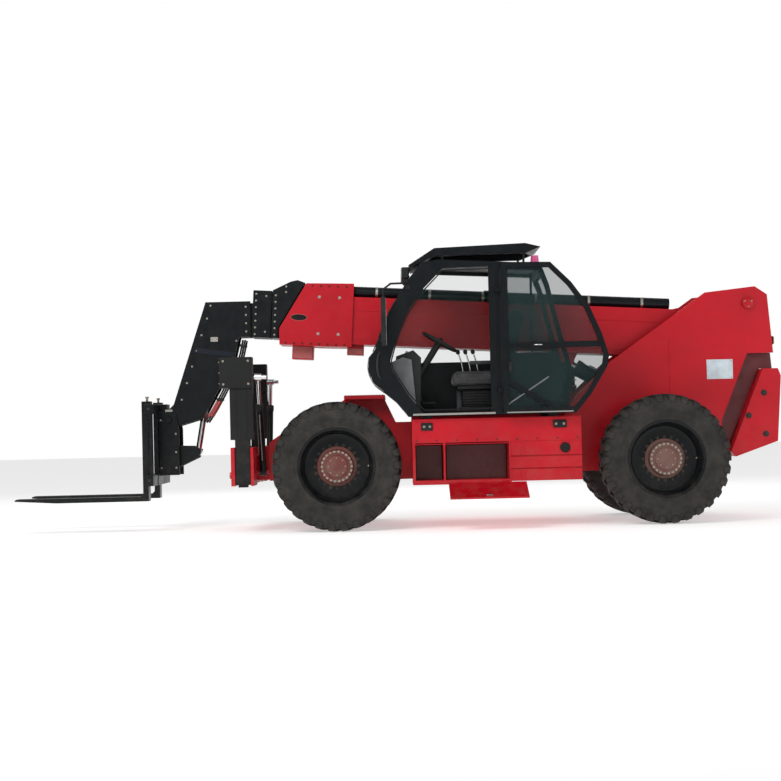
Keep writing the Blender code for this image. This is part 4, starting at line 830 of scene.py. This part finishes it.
def side_box_fittings():
    """Drip rails, latches, bolts and the tank's cap, straps and step treads."""
    boxes("box_drip_rail", [((-1.885, -0.150), (BOX_SKIN, 1.158), (1.118, 1.134))], RED, "chassis",
          0.003)
    row = [(x, BOX_SIDE, 0.915) for x in span(-1.85, -0.19, 9)]
    bolts("box_bolts", row, (0, 1, 0), 0.007, CAST, "chassis", 0.005)
    mounts = (("rear", (-1.74, -1.60), (-1.71, -1.63)), ("front", (-0.36, -0.24), (-0.33, -0.27)))
    for end, x, screws in mounts:
        boxes(f"cab_mount_{end}", [(x, (BOX_SIDE, 1.164), (1.02, 1.10))],
              DARK_PLASTIC, "chassis", 0.006)
        bolts(f"cab_mount_{end}_bolts", [(screw, 1.164, 1.06) for screw in screws],
              LEFT, 0.010, ZINC, "chassis")
    profile = [(0.0, 0.0), (0.052, 0.0), (0.052, 0.012), (0.045, 0.024), (0.020, 0.027),
               (0.018, 0.034), (0.0, 0.035)]
    turned("tank_cap", profile, DARK_PLASTIC, "chassis", Vector((-1.72, 1.1453, 0.815)),
           Vector((0, 1, 0)), 40)
    straps = [((x, x + 0.035), (1.1455, 1.1500), z)
              for z in ((0.50, 0.585), (0.745, 0.87)) for x in (-1.80, -1.30)]
    boxes("tank_straps", straps, RED, "chassis", 0.0015)
    frame_lips = [((-1.15, -0.16), (BOX_SKIN, 1.1516), (0.872, 0.880)),
                  ((-0.168, -0.158), (BOX_SKIN, 1.1516), (0.48, 0.87))]
    boxes("toolbox_lips", frame_lips, RED, "chassis", 0.0)
    treads = [((x, x + 0.020), (1.24, 1.53), (0.4822, 0.4842)) for x in span(-1.28, -0.56, 12)]
    boxes("door_treads", treads, RED, "toolbox_door", 0.002, DROOP)
    boxes("door_latch", [((-0.945, -0.875), (1.525, 1.550), (0.4822, 0.494))], STEEL,
          "toolbox_door", 0.003, DROOP)
    # Dark red plates at the toolbox's back: painted shade inside the open box.
    shaded_back_walls = [((-1.135, -0.505), (0.74, 0.75), (0.50, 0.86)), ((-0.455, -0.185), (0.74, 0.75),
                                                              (0.50, 0.86))]
    boxes("toolbox_back_walls_painted_shade", shaded_back_walls, DECK_RED, "chassis", 0.002)


# ---------------------------------------------------------------- engine side
def engine_fittings():
    """Louvres, grille, grab handles, hood vents and exhaust details on the right-hand tub."""
    slats = [((-1.72, -0.98), (POD_SIDE - 0.008, POD_SIDE - SKIN), (z, z + 0.018))
             for z in span(0.70, 1.16, 12)]
    boxes("pod_louvres", slats, DARK_PLASTIC, "chassis", 0.003)
    frame_bars = [((-1.75, -0.95), (POD_SIDE - 0.010, POD_SIDE - SKIN), (z, z + 0.020))
                  for z in (0.665, 1.195)]
    frame_bars += [((x, x + 0.020), (POD_SIDE - 0.010, POD_SIDE - SKIN), (0.665, 1.215))
                   for x in (-1.765, -0.955)]
    boxes("pod_grille_frame", frame_bars, BLACK, "chassis", 0.003)
    boxes("pod_panel_edge", [((-0.88, -0.24), (POD_SIDE - 0.004, POD_SIDE - SKIN), (0.62, 1.22))],
          RED, "chassis", 0.003)
    corners = [(x, POD_SIDE - 0.004, z) for x in (-0.85, -0.27) for z in (0.65, 0.92, 1.19)]
    bolts("pod_panel_bolts", corners, (0, -1, 0), 0.007, ZINC, "chassis", 0.005)
    for number, x in enumerate((-0.70, -0.42)):
        pipe(f"pod_handle_{number}", [(x, POD_SIDE - 0.004, 1.02), (x, POD_SIDE - 0.040, 1.03),
                                      (x, POD_SIDE - 0.040, 1.13),
                                      (x, POD_SIDE - 0.004, 1.14)], 0.007, CAST, "chassis")
    vents = [((x, x + 0.035), (-1.02, -0.62), (1.5002, 1.508)) for x in span(-1.80, -1.30, 8)]
    boxes("hood_vents", vents, DARK_PLASTIC, "engine_hood", 0.003)
    pipe("hood_handle", [(-1.12, -1.1504, 1.38), (-1.12, -1.185, 1.385), (-0.98, -1.185, 1.385),
                         (-0.98, -1.1504, 1.38)],
         0.008, CAST, "engine_hood")
    boxes("hood_creases", [((-1.90, -0.22), (-1.1535, -1.1504), (1.335, 1.342)),
                           ((-1.90, -0.22), (-1.1535, -1.1504), (1.455, 1.462))],
          RED, "engine_hood", 0.001)
    form = bmesh.new()
    for z in span(1.20, 1.55, 6):
        add_rod(form, (-2.0075, -0.70, z), (-2.0075, -0.70, z + 0.012), 0.0468, 32)
    finish_piece("exhaust_bands", form, STEEL, "chassis", bevel=0.001)
    form = bmesh.new()
    for x in (-1.52, -1.38, -1.24, -1.10, -0.96, -0.82):
        add_box(form, (x - 0.045, x + 0.045), (-0.86, -0.64), (1.2402, 1.262))
        add_rod(form, (x, -0.75, 1.258), (x, -0.75, 1.278), 0.022, 20)
    finish_piece("rocker_covers", form, CAST, "chassis", bevel=0.006)


# ---------------------------------------------------------------- cab
SEAT_LINES = (0.615, 0.905)
LINE_WIDTH = LINE_DEPTH = 0.007
HELD_DEPTH = 0.035
MOST_PUFF = 0.014
PUFF_FRAMES = 20
PUFF = {
    "quality": 4, "mass": 0.3, "tension_stiffness": 40, "compression_stiffness": 40,
    "bending_stiffness": 3, "vertex_group_mass": "held", "use_pressure": True,
    "uniform_pressure_force": 4.0,
}


def stuffed(name, x, y, z, lean, free):
    """A foam pad blown up gently inside its cover; the cover's under face stays put."""
    form = bmesh.new()
    add_box(form, x, y, z)
    mesh = bpy.data.meshes.new(name)
    form.to_mesh(mesh)
    form.free()
    mesh.transform(lean)
    mesh.materials.append(SEAT_VINYL)
    piece = bpy.data.objects.new(name, mesh)
    bpy.context.scene.collection.objects.link(piece)
    bpy.context.view_layer.objects.active = piece
    edge = piece.modifiers.new("edge", "BEVEL")
    edge.width = 0.024
    edge.segments = 4
    grid = piece.modifiers.new("grid", "REMESH")
    grid.mode = "VOXEL"
    grid.voxel_size = 0.006
    with bpy.context.temp_override(object=piece, active_object=piece):
        bpy.ops.object.modifier_apply(modifier="edge")
        bpy.ops.object.modifier_apply(modifier="grid")
    normal = (lean.to_3x3() @ Vector(free)).normalized()
    rest = [vertex.co.copy() for vertex in piece.data.vertices]
    depth = [place.dot(normal) for place in rest]
    low = min(depth)
    held = piece.vertex_groups.new(name="held")
    held.add([number for number, value in enumerate(depth) if value < low + HELD_DEPTH], 1.0,
             "REPLACE")
    puff = piece.modifiers.new("puff", "CLOTH")
    for setting, value in PUFF.items():
        setattr(puff.settings, setting, value)
    puff.settings.effector_weights.gravity = 0.0
    puff.point_cache.frame_start = 1
    puff.point_cache.frame_end = PUFF_FRAMES
    for moment in range(1, PUFF_FRAMES + 1):
        bpy.context.scene.frame_set(moment)
    seen = piece.evaluated_get(bpy.context.evaluated_depsgraph_get())
    blown = [vertex.co.copy() for vertex in seen.data.vertices]
    piece.modifiers.remove(puff)
    bpy.context.scene.frame_set(1)
    for vertex, start, end in zip(piece.data.vertices, rest, blown):
        move = end - start
        if move.length > MOST_PUFF:
            move *= MOST_PUFF / move.length
        vertex.co = start + move
    quilt(piece.data, lean)
    piece.data.shade_smooth()
    fine = piece.modifiers.new("fine", "SMOOTH")
    fine.iterations = 3
    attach(piece, "chassis")
    return piece


def quilt(mesh, lean):
    """Presses stitched channels into a pad, across its middle."""
    back = lean.inverted()
    for vertex in mesh.vertices:
        place = back @ vertex.co
        for line in SEAT_LINES:
            press = math.exp(-((place.y - line) / LINE_WIDTH) ** 2)
            vertex.co -= vertex.normal * LINE_DEPTH * press


def cab_seat():
    """Suspension base, two stuffed cushions with piping, armrest and belt."""
    cushion = stuffed("seat_cushion", (-1.075, -0.585), (0.525, 0.995), (1.490, 1.615),
                      Matrix.Identity(4), (0, 0, 1))
    tilt = Matrix.Translation((-1.155, 0, 1.60)) @ Matrix.Rotation(-math.radians(11.0), 4, "Y")
    stuffed("seat_back", (-0.045, 0.070), (0.535, 0.985), (0.0, 0.665), tilt, (1, 0, 0))
    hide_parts("seat")
    tubs = [((-1.01, -0.66), (0.60, 0.92), (CAB_FLOOR, 1.26)), ((-0.985, -0.685), (0.625, 0.895),
                                                                (1.26, 1.44)),
            ((-1.02, -0.63), (0.58, 0.94), (1.44, 1.488))]
    boxes("seat_suspension", tubs, DARK_PLASTIC, "chassis", 0.008)
    for number, z in enumerate(span(1.28, 1.42, 6)):
        boxes(f"seat_bellows_{number}", [((-0.995, -0.675), (0.615, 0.905), (z, z + 0.012))], HOSE,
              "chassis", 0.005)
    for number, y in enumerate((0.548, 0.972)):
        points = [(-1.06, y, 1.553), (-0.83, y + (0.004 if y > 0.7 else -0.004), 1.556),
                  (-0.605, y, 1.553)]
        pipe(f"cushion_piping_{number}", points, 0.005, SEAT_VINYL, "chassis")
    boxes("seat_back_shell", [((-0.062, -0.045), (0.56, 0.96), (0.02, 0.62))], DARK_PLASTIC,
          "chassis", 0.006, tilt)
    boxes("armrest", [((-1.04, -0.76), (0.965, 1.010), (1.70, 1.735))], SEAT_VINYL, "chassis",
          0.012)
    pipe("armrest_stay", [(-1.09, 0.975, 1.66), (-1.05, 0.985, 1.69), (-0.98, 0.987, 1.705)], 0.010,
         CAST, "chassis")
    boxes("belt_buckle", [((-0.97, -0.945), (0.500, 0.515), (1.55, 1.66))], DARK_PLASTIC, "chassis",
          0.004)


def cab_controls():
    """Wheel grip, dials, pedals, levers and the pale side panel."""
    middle = Vector((0.60, 0.76, 1.95))
    lean = Vector((-0.50, 0, 0.866))
    across = lean.cross(LEFT)
    reach = 0.19
    ring = [middle + (LEFT * math.cos(turn) + across * math.sin(turn)) * reach
            for turn in circle_turns(36)]
    pipe("wheel_grip", ring, 0.0165, HOSE, "chassis", HERE, ring=True)
    form = bmesh.new()
    for turn in (math.radians(90), math.radians(210), math.radians(330)):
        rim_place = middle + (LEFT * math.cos(turn) + across * math.sin(turn)) * 0.185
        add_rod(form, middle, rim_place, 0.012, 16, 0.008)
    add_rod(form, middle - lean * 0.03, middle + lean * 0.022, 0.045, 40)
    finish_piece("wheel_spokes", form, DARK_PLASTIC, "chassis", matrix=HERE, bevel=0.003)
    grip = middle + Vector((0, -reach, 0))
    form = bmesh.new()
    add_rod(form, grip, grip + lean * 0.060, 0.018, 24, 0.022)
    finish_piece("spinner_knob", form, DARK_PLASTIC, "chassis", matrix=HERE, bevel=0.006)
    form = bmesh.new()
    for y, reach in ((0.60, 0.06), (0.88, 0.10)):
        add_box(form, (0.66, 0.80), (y - 0.035, y + 0.035), (1.30, 1.315))
        add_rod(form, (0.79, y, 1.31), (0.83, y, 1.31 + reach), 0.008, 12)
    finish_piece("pedals", form, DARK_PLASTIC, "chassis", matrix=HERE, bevel=0.004)
    for number, (y, lift) in enumerate(((0.56, 0.17), (0.62, 0.14))):
        pipe(f"column_stalk_{number}", [(0.70, 0.76 + (y - 0.59) * 0.5, 1.80), (0.66, y, 1.86),
                                        (0.63, y - 0.05, 1.88 + lift * 0.2)], 0.006,
             CAST, "chassis", HERE)
    boxes("lever_tower", [((0.10, 0.42), (0.355, 0.49), (1.2156, 1.62))], GREY_PLASTIC, "chassis",
          0.02, HERE)
    for number, x in enumerate((0.18, 0.26, 0.34)):
        pipe(f"lever_{number}", [(x, 0.42, 1.62), (x + 0.02, 0.425, 1.74), (x + 0.05, 0.43, 1.84)],
             0.008, CHROME, "chassis", HERE)
        profile = [(0.0, 0.0), (0.014, 0.0), (0.023, 0.018), (0.022, 0.038), (0.012, 0.050),
                   (0.0, 0.052)]
        turned(f"lever_knob_{number}", profile, DARK_PLASTIC, "chassis",
               HERE @ Vector((x + 0.05, 0.43, 1.83)), Vector((0.2, 0, 1)), 28)
    outline = [(0.86, 1.25), (1.04, 1.42), (1.17, 1.55), (1.20, 1.70), (0.99, 1.79), (0.90, 1.76)]
    plate("dash_side", outline, 1.035, 1.050, GREY_PLASTIC, "chassis", bevel=0.004, matrix=HERE)
    form = bmesh.new()
    x, z = 0.94, 1.845
    for y in (0.62, 0.70, 0.78, 0.86):
        add_rod(form, (x, y, z - 0.02), (x - 0.012, y, z + 0.006), 0.030, 32)
    finish_piece("dials", form, CLEAR_LENS, "chassis", matrix=HERE, bevel=0.002)
    boxes("floor_mat", [((0.20, 0.84), (0.36, 1.14), (CAB_FLOOR, 1.222))], HOSE, "chassis", 0.003,
          HERE)


def cab_trim():
    """Door-opening seal, sliding-window frames, grab rails, lamps, wipers and roof slats."""
    opening = [(-0.012, 1.24), (-0.012, 2.675), (-0.545, 2.665), (-0.74, 2.468), (-0.915, 2.225),
               (-1.03, 1.965),
               (-1.093, 1.745), (-1.078, 1.660), (-0.915, 1.395), (-0.765, 1.232), (-0.20, 1.232)]
    rail = [(-x, 1.1975, z) for x, z in opening]
    pipe("door_seal", [(x + 0.018, y, z) for x, y, z in rail], 0.007, SEAL, "chassis", HERE,
         ring=True, resolution=2,
         handles="VECTOR")
    bars = [((-0.105, -0.093), (1.186, 1.1985), (1.30, 2.66)), ((-0.58, -0.10), (1.186, 1.1985),
                                                                (1.862, 1.880))]
    boxes("quarter_frame", bars, BLACK, "chassis", 0.003, HERE)
    boxes("window_channel", [((-1.02, -0.11), (OPEN_DOOR, 1.2965), (1.846, 1.894))], BLACK,
          "cab_door", 0.003, HERE)
    handle = [(-0.44, 1.2968, 1.872), (-0.43, 1.316, 1.872), (-0.36, 1.316, 1.872),
              (-0.35, 1.2968, 1.872)]
    pipe("slide_handle", handle, 0.006, CHROME, "cab_door", HERE)
    form = bmesh.new()
    add_rod(form, (-0.08, 1.236, 1.27), (-0.50, 1.236, 1.545), 0.009, 16)
    finish_piece("door_brace", form, STEEL, "cab_door", matrix=HERE)
    boxes("door_kick_rail", [((-0.74, -0.06), (1.2901, 1.2911), (1.180, 1.192))], STEEL, "cab_door",
          0.0, HERE)
    boxes("door_latch_case", [((-0.130, -0.085), (OPEN_DOOR, 1.310), (1.60, 1.70))], DARK_PLASTIC,
          "cab_door", 0.006, HERE)
    pipe("door_pull", [(-0.107, 1.308, 1.61), (-0.107, 1.330, 1.63), (-0.107, 1.330, 1.69),
                       (-0.107, 1.308, 1.695)], 0.007, CAST,
         "cab_door", HERE)
    lower = [(-0.105, 1.225), (-0.105, 1.80), (-0.60, 1.80), (-0.665, 1.60), (-0.62, 1.225)]
    plate("rear_corner_trim", lower, 1.128, 1.138, DARK_PLASTIC, "chassis", bevel=0.003,
          matrix=HERE)
    boxes("quarter_inner_post", [((-0.36, -0.335), (1.140, 1.155), (1.80, 2.62))], DARK_PLASTIC,
          "chassis", 0.003, HERE)
    boxes("quarter_inner_rail", [((-0.55, -0.10), (1.140, 1.155), (2.30, 2.325))], DARK_PLASTIC,
          "chassis", 0.003, HERE)
    boxes("cab_sill", [((0.05, 0.90), (CAB_SKIN, 1.2020), (1.176, 1.196))], STEEL, "chassis", 0.002,
          HERE)
    boxes("post_trim", [((-0.085, -0.02), (CAB_SKIN, 1.2035), (1.24, 2.66))], DARK_PLASTIC,
          "chassis", 0.002, HERE)
    pipe("grab_rail", [(1.225, 1.2010, 1.57), (1.245, 1.232, 1.60), (1.245, 1.232, 1.80),
                       (1.225, 1.2010, 1.84)], 0.010, CAST,
         "chassis", HERE)
    for name, y in (("left", 1.155), ("right", 0.345)):
        points = [(1.195, y, 1.437), (1.302, y, 1.530), (1.352, y, 1.652), (1.343, y, 1.785)]
        pipe(f"windscreen_edge_{name}", points, 0.0055, STEEL, "chassis", HERE)
    for number, y in enumerate((0.46, 1.05)):
        boxes(f"work_lamp_{number}", [((0.905, 0.985), (y - 0.05, y + 0.05), (2.60, 2.72))],
              DARK_PLASTIC, "chassis", 0.012, HERE)
        boxes(f"work_lamp_lens_{number}", [((0.984, 0.992), (y - 0.042, y + 0.042), (2.61, 2.71))],
              CLEAR_LENS, "chassis", 0.004, HERE)
        form = bmesh.new()
        add_rod(form, (0.90, y, 2.62), (0.945, y, 2.63), 0.009, 12)
        finish_piece(f"work_lamp_stem_{number}", form, CAST, "chassis", matrix=HERE)
    wiper = [(1.118, 0.75, 2.305), (1.165, 0.80, 2.18), (1.240, 0.90, 2.015)]
    pipe("wiper_arm", wiper, 0.005, CAST, "chassis", HERE)
    pipe("wiper_blade", [(1.196, 0.83, 2.10), (1.232, 0.90, 2.005), (1.300, 0.96, 1.86)], 0.006,
         HOSE, "chassis", HERE)
    slats = []
    for x in span(-0.25, 0.52, 9):
        roof = 2.9362 - max(0.0, x + 0.30) * 0.0319  # the guard slopes down ahead of the post
        slats.append(((x, x + 0.050), (0.40, 1.10), (roof - 0.0005, roof + 0.001)))
    boxes("guard_slats", slats, DARK_PLASTIC, "chassis", 0.0, HERE)
    profile = [(0.052, 0.0), (0.052, 0.006), (0.047, 0.010), (0.0, 0.010)]
    base = HERE @ Vector((-0.40, 1.08, 2.7245))
    turned("beacon_base", [(0.0, 0.0), *profile], DARK_PLASTIC, "chassis", base, Vector((0, 0, 1)),
           40)
    boxes("mirror_face_left", [((1.152, 1.1545), (1.290, 1.430), (1.90, 2.38))], MIRROR_GLASS,
          "chassis", 0.001, HERE)
    boxes("mirror_face_right", [((0.772, 0.7745), (-1.512, -1.368), (1.51, 1.79))], MIRROR_GLASS,
          "chassis", 0.001, HERE)


# ---------------------------------------------------------------- cylinders, legs and carriage
def gland(name, start, line, radius, body):
    """The ringed nut on a barrel's open end."""
    start, line = Vector(start), Vector(line).normalized()
    form = bmesh.new()
    add_rod(form, start - line * 0.055, start - line * 0.002, radius + 0.006, 48)
    add_rod(form, start - line * 0.075, start - line * 0.058, radius + 0.003, 8)
    finish_piece(name, form, CAST, body, bevel=0.002)


def cylinder_fittings():
    """Glands at the barrels' open ends, and the steel pipes along them."""
    gland("lift_gland", LIFT_PIN + LIFT_LINE * LIFT_BARREL, LIFT_LINE, 0.085, "lift_barrel")
    square = Vector((-LIFT_LINE.z, 0, LIFT_LINE.x))
    points = [LIFT_PIN + LIFT_LINE * along + square * 0.094 for along in span(0.20, 1.42, 6)]
    pipe("lift_pipe", points, 0.008, STEEL, "lift_barrel")
    tilt_line = (TILT_EYE - TILT_PIN).normalized()
    gland("tilt_gland", TILT_PIN + tilt_line * TILT_BARREL, tilt_line, 0.058, "tilt_barrel")
    for name, side in SIDES:
        foot = Vector((1.455, side * 0.42, 0.62))
        line = (Vector((1.455, side * 0.90, 1.62)) - foot).normalized()
        gland(f"leg_gland_{name}", foot + line * LEG_BARREL, line, 0.0352, f"leg_barrel_{name}")
        off = Vector((0, -side * line.z, side * line.y)) * -0.046
        points = [foot + line * along + off for along in span(0.16, 0.70, 4)]
        pipe(f"leg_pipe_{name}", points, 0.006, STEEL, f"leg_barrel_{name}")


def leg_fittings():
    """Plate bolts, stiffening ribs and the hose behind each leg."""
    for name, side in SIDES:
        body = f"leg_{name}"
        y = side * LEG_Y
        front = 1.8402
        row = [(front, y + dy, z) for dy in (-0.06, 0.06) for z in (1.56, 1.67, 1.78)]
        bolts(f"leg_plate_bolts_{name}", row, (1, 0, 0), 0.009, ZINC, body, 0.007)
        outer = side * (LEG_Y + 0.090)
        row = [(x, outer, z) for x in (1.54, 1.80) for z in (1.55, 1.79)]
        bolts(f"leg_side_bolts_{name}", row, (0, side, 0), 0.009, ZINC, body, 0.007)
        face = side * (LEG_Y + 0.065)
        low, high = sorted((face + side * SKIN, face + side * 0.004))
        boxes(f"leg_rib_{name}", [((1.56, 1.575), (low, high), (0.99, 1.49)),
                                  ((1.665, 1.680), (low, high), (0.99, 1.49))],
              LEG_BLACK, body, 0.001)
        points = [(1.51, y - side * 0.02, 1.02), (1.494, y - side * 0.02, 1.15),
                  (1.494, y - side * 0.02, 1.35), (1.51, y - side * 0.02, 1.47)]
        pipe(f"leg_hose_{name}", points, 0.008, HOSE, body)


def carriage_fittings():
    """Bar and ear bolts, fork notches and the two fork locks."""
    face = 2.6803
    row = [(face, y, z) for y in (-0.56, -0.20, 0.20, 0.56) for z in (0.53, 0.59)]
    bolts("carriage_bar_bolts", row, (1, 0, 0), 0.010, CAST, "carriage", 0.008)
    notches = [((2.650, 2.6795), (y - 0.006, y + 0.006), (1.3702, 1.3775))
               for y in span(-0.60, 0.60, 13) if abs(abs(y) - FORK_Y) > 0.1]
    boxes("bar_notches", notches, CAST, "carriage", 0.001)
    for name, side in SIDES:
        ear = side * 0.1803
        row = [(x, ear, z) for x, z in ((2.42, 1.05), (2.42, 0.85), (2.42, 0.68), (2.58, 1.20),
                                        (2.58, 0.68))]
        bolts(f"carriage_ear_bolts_{name}", row, (0, side, 0), 0.008, ZINC, "carriage", 0.006)
        form = bmesh.new()
        y = side * FORK_Y
        add_rod(form, (2.69, y, 1.4054), (2.69, y, 1.445), 0.013, 24)
        add_rod(form, (2.69, y, 1.440), (2.69, y, 1.456), 0.020, 24)
        finish_piece(f"fork_lock_{name}", form, ZINC, "carriage", bevel=0.003)
        stile = side * 0.6502
        bolts(f"carriage_end_bolts_{name}", [(2.645, stile, 1.32), (2.645, stile, 0.56)],
              (0, side, 0), 0.012, CAST, "carriage", 0.008)


boom_skin()
section_bolts()
head_fittings()
tower_fittings()
deck_and_nose()
under_frame()
side_box_fittings()
engine_fittings()
cab_seat()
cab_controls()
cab_trim()
cylinder_fittings()
leg_fittings()
carriage_fittings()


# ---------------------------------------------------------------- camera, floor and light
CAMERA_PLACE = (0.02, 18.22, 1.05)
CAMERA_LENS = 76.3
PITCH, YAW, ROLL = math.radians(1.319), math.radians(0.156), math.radians(1.38)
FLOOR_REACH = 60.0
FLOOR_GLOW = 0.42
WORLD_LIGHT = 0.42
LIGHT_TARGET = (-0.5, 0.0, 1.2)


def aim_camera():
    """A long lens on the left side, near the ground and level with the wheels."""
    forward = Vector((math.sin(YAW) * math.cos(PITCH), -math.cos(YAW) * math.cos(PITCH),
                      math.sin(PITCH)))
    level = forward.cross(UP).normalized()
    upward = level.cross(forward)
    right = level * math.cos(ROLL) - upward * math.sin(ROLL)
    top = level * math.sin(ROLL) + upward * math.cos(ROLL)
    data = bpy.data.cameras.new("camera")
    data.lens = CAMERA_LENS
    data.sensor_width = 36.0
    camera = bpy.data.objects.new("camera", data)
    turn = Matrix((right, top, -forward)).transposed().to_4x4()
    camera.matrix_world = Matrix.Translation(CAMERA_PLACE) @ turn
    bpy.context.scene.collection.objects.link(camera)
    bpy.context.scene.camera = camera


def lay_floor():
    """A pale floor that glows a little, so that it meets the white background."""
    material, tree, shader, add = graph("studio_white")
    shader.inputs["Base Color"].default_value = (0.93, 0.93, 0.93, 1.0)
    shader.inputs["Roughness"].default_value = 0.9
    shader.inputs["Specular IOR Level"].default_value = 0.1
    shader.inputs["Emission Color"].default_value = (1.0, 1.0, 1.0, 1.0)
    shader.inputs["Emission Strength"].default_value = FLOOR_GLOW
    mesh = bpy.data.meshes.new("studio_floor")
    corners = [(x * FLOOR_REACH, y * FLOOR_REACH, 0) for x, y in ((-1, -1), (1, -1), (1, 1),
                                                                  (-1, 1))]
    mesh.from_pydata(corners, [], [(0, 1, 2, 3)])
    mesh.materials.append(material)
    floor = bpy.data.objects.new("studio_floor", mesh)
    bpy.context.scene.collection.objects.link(floor)


def soft_light(name, place, size, power):
    data = bpy.data.lights.new(name, "AREA")
    data.shape = "RECTANGLE"
    data.size, data.size_y = size
    data.energy = power
    light = bpy.data.objects.new(name, data)
    look = (Vector(LIGHT_TARGET) - Vector(place)).to_track_quat("-Z", "Y")
    light.matrix_world = Matrix.Translation(place) @ look.to_matrix().to_4x4()
    bpy.context.scene.collection.objects.link(light)


def light_studio():
    """White to the camera, dimmer as a light, with three soft boxes."""
    world = bpy.data.worlds.new("studio")
    world.use_nodes = True
    back = world.node_tree.nodes["Background"]
    back.inputs["Color"].default_value = (1.0, 1.0, 1.0, 1.0)
    tree = world.node_tree
    seen = tree.nodes.new("ShaderNodeLightPath")
    level = tree.nodes.new("ShaderNodeMapRange")
    level.inputs["To Min"].default_value = WORLD_LIGHT
    level.inputs["To Max"].default_value = 1.0
    tree.links.new(seen.outputs["Is Camera Ray"], level.inputs["Value"])
    tree.links.new(level.outputs["Result"], back.inputs["Strength"])
    bpy.context.scene.world = world
    soft_light("key", (4.5, 9.0, 8.5), (6.0, 5.0), 620)
    soft_light("fill", (-9.0, 8.0, 4.0), (6.0, 4.0), 160)
    soft_light("back", (0.0, -9.0, 7.0), (9.0, 4.0), 260)


aim_camera()
lay_floor()
light_studio()
bpy.context.scene.view_settings.view_transform = "Standard"
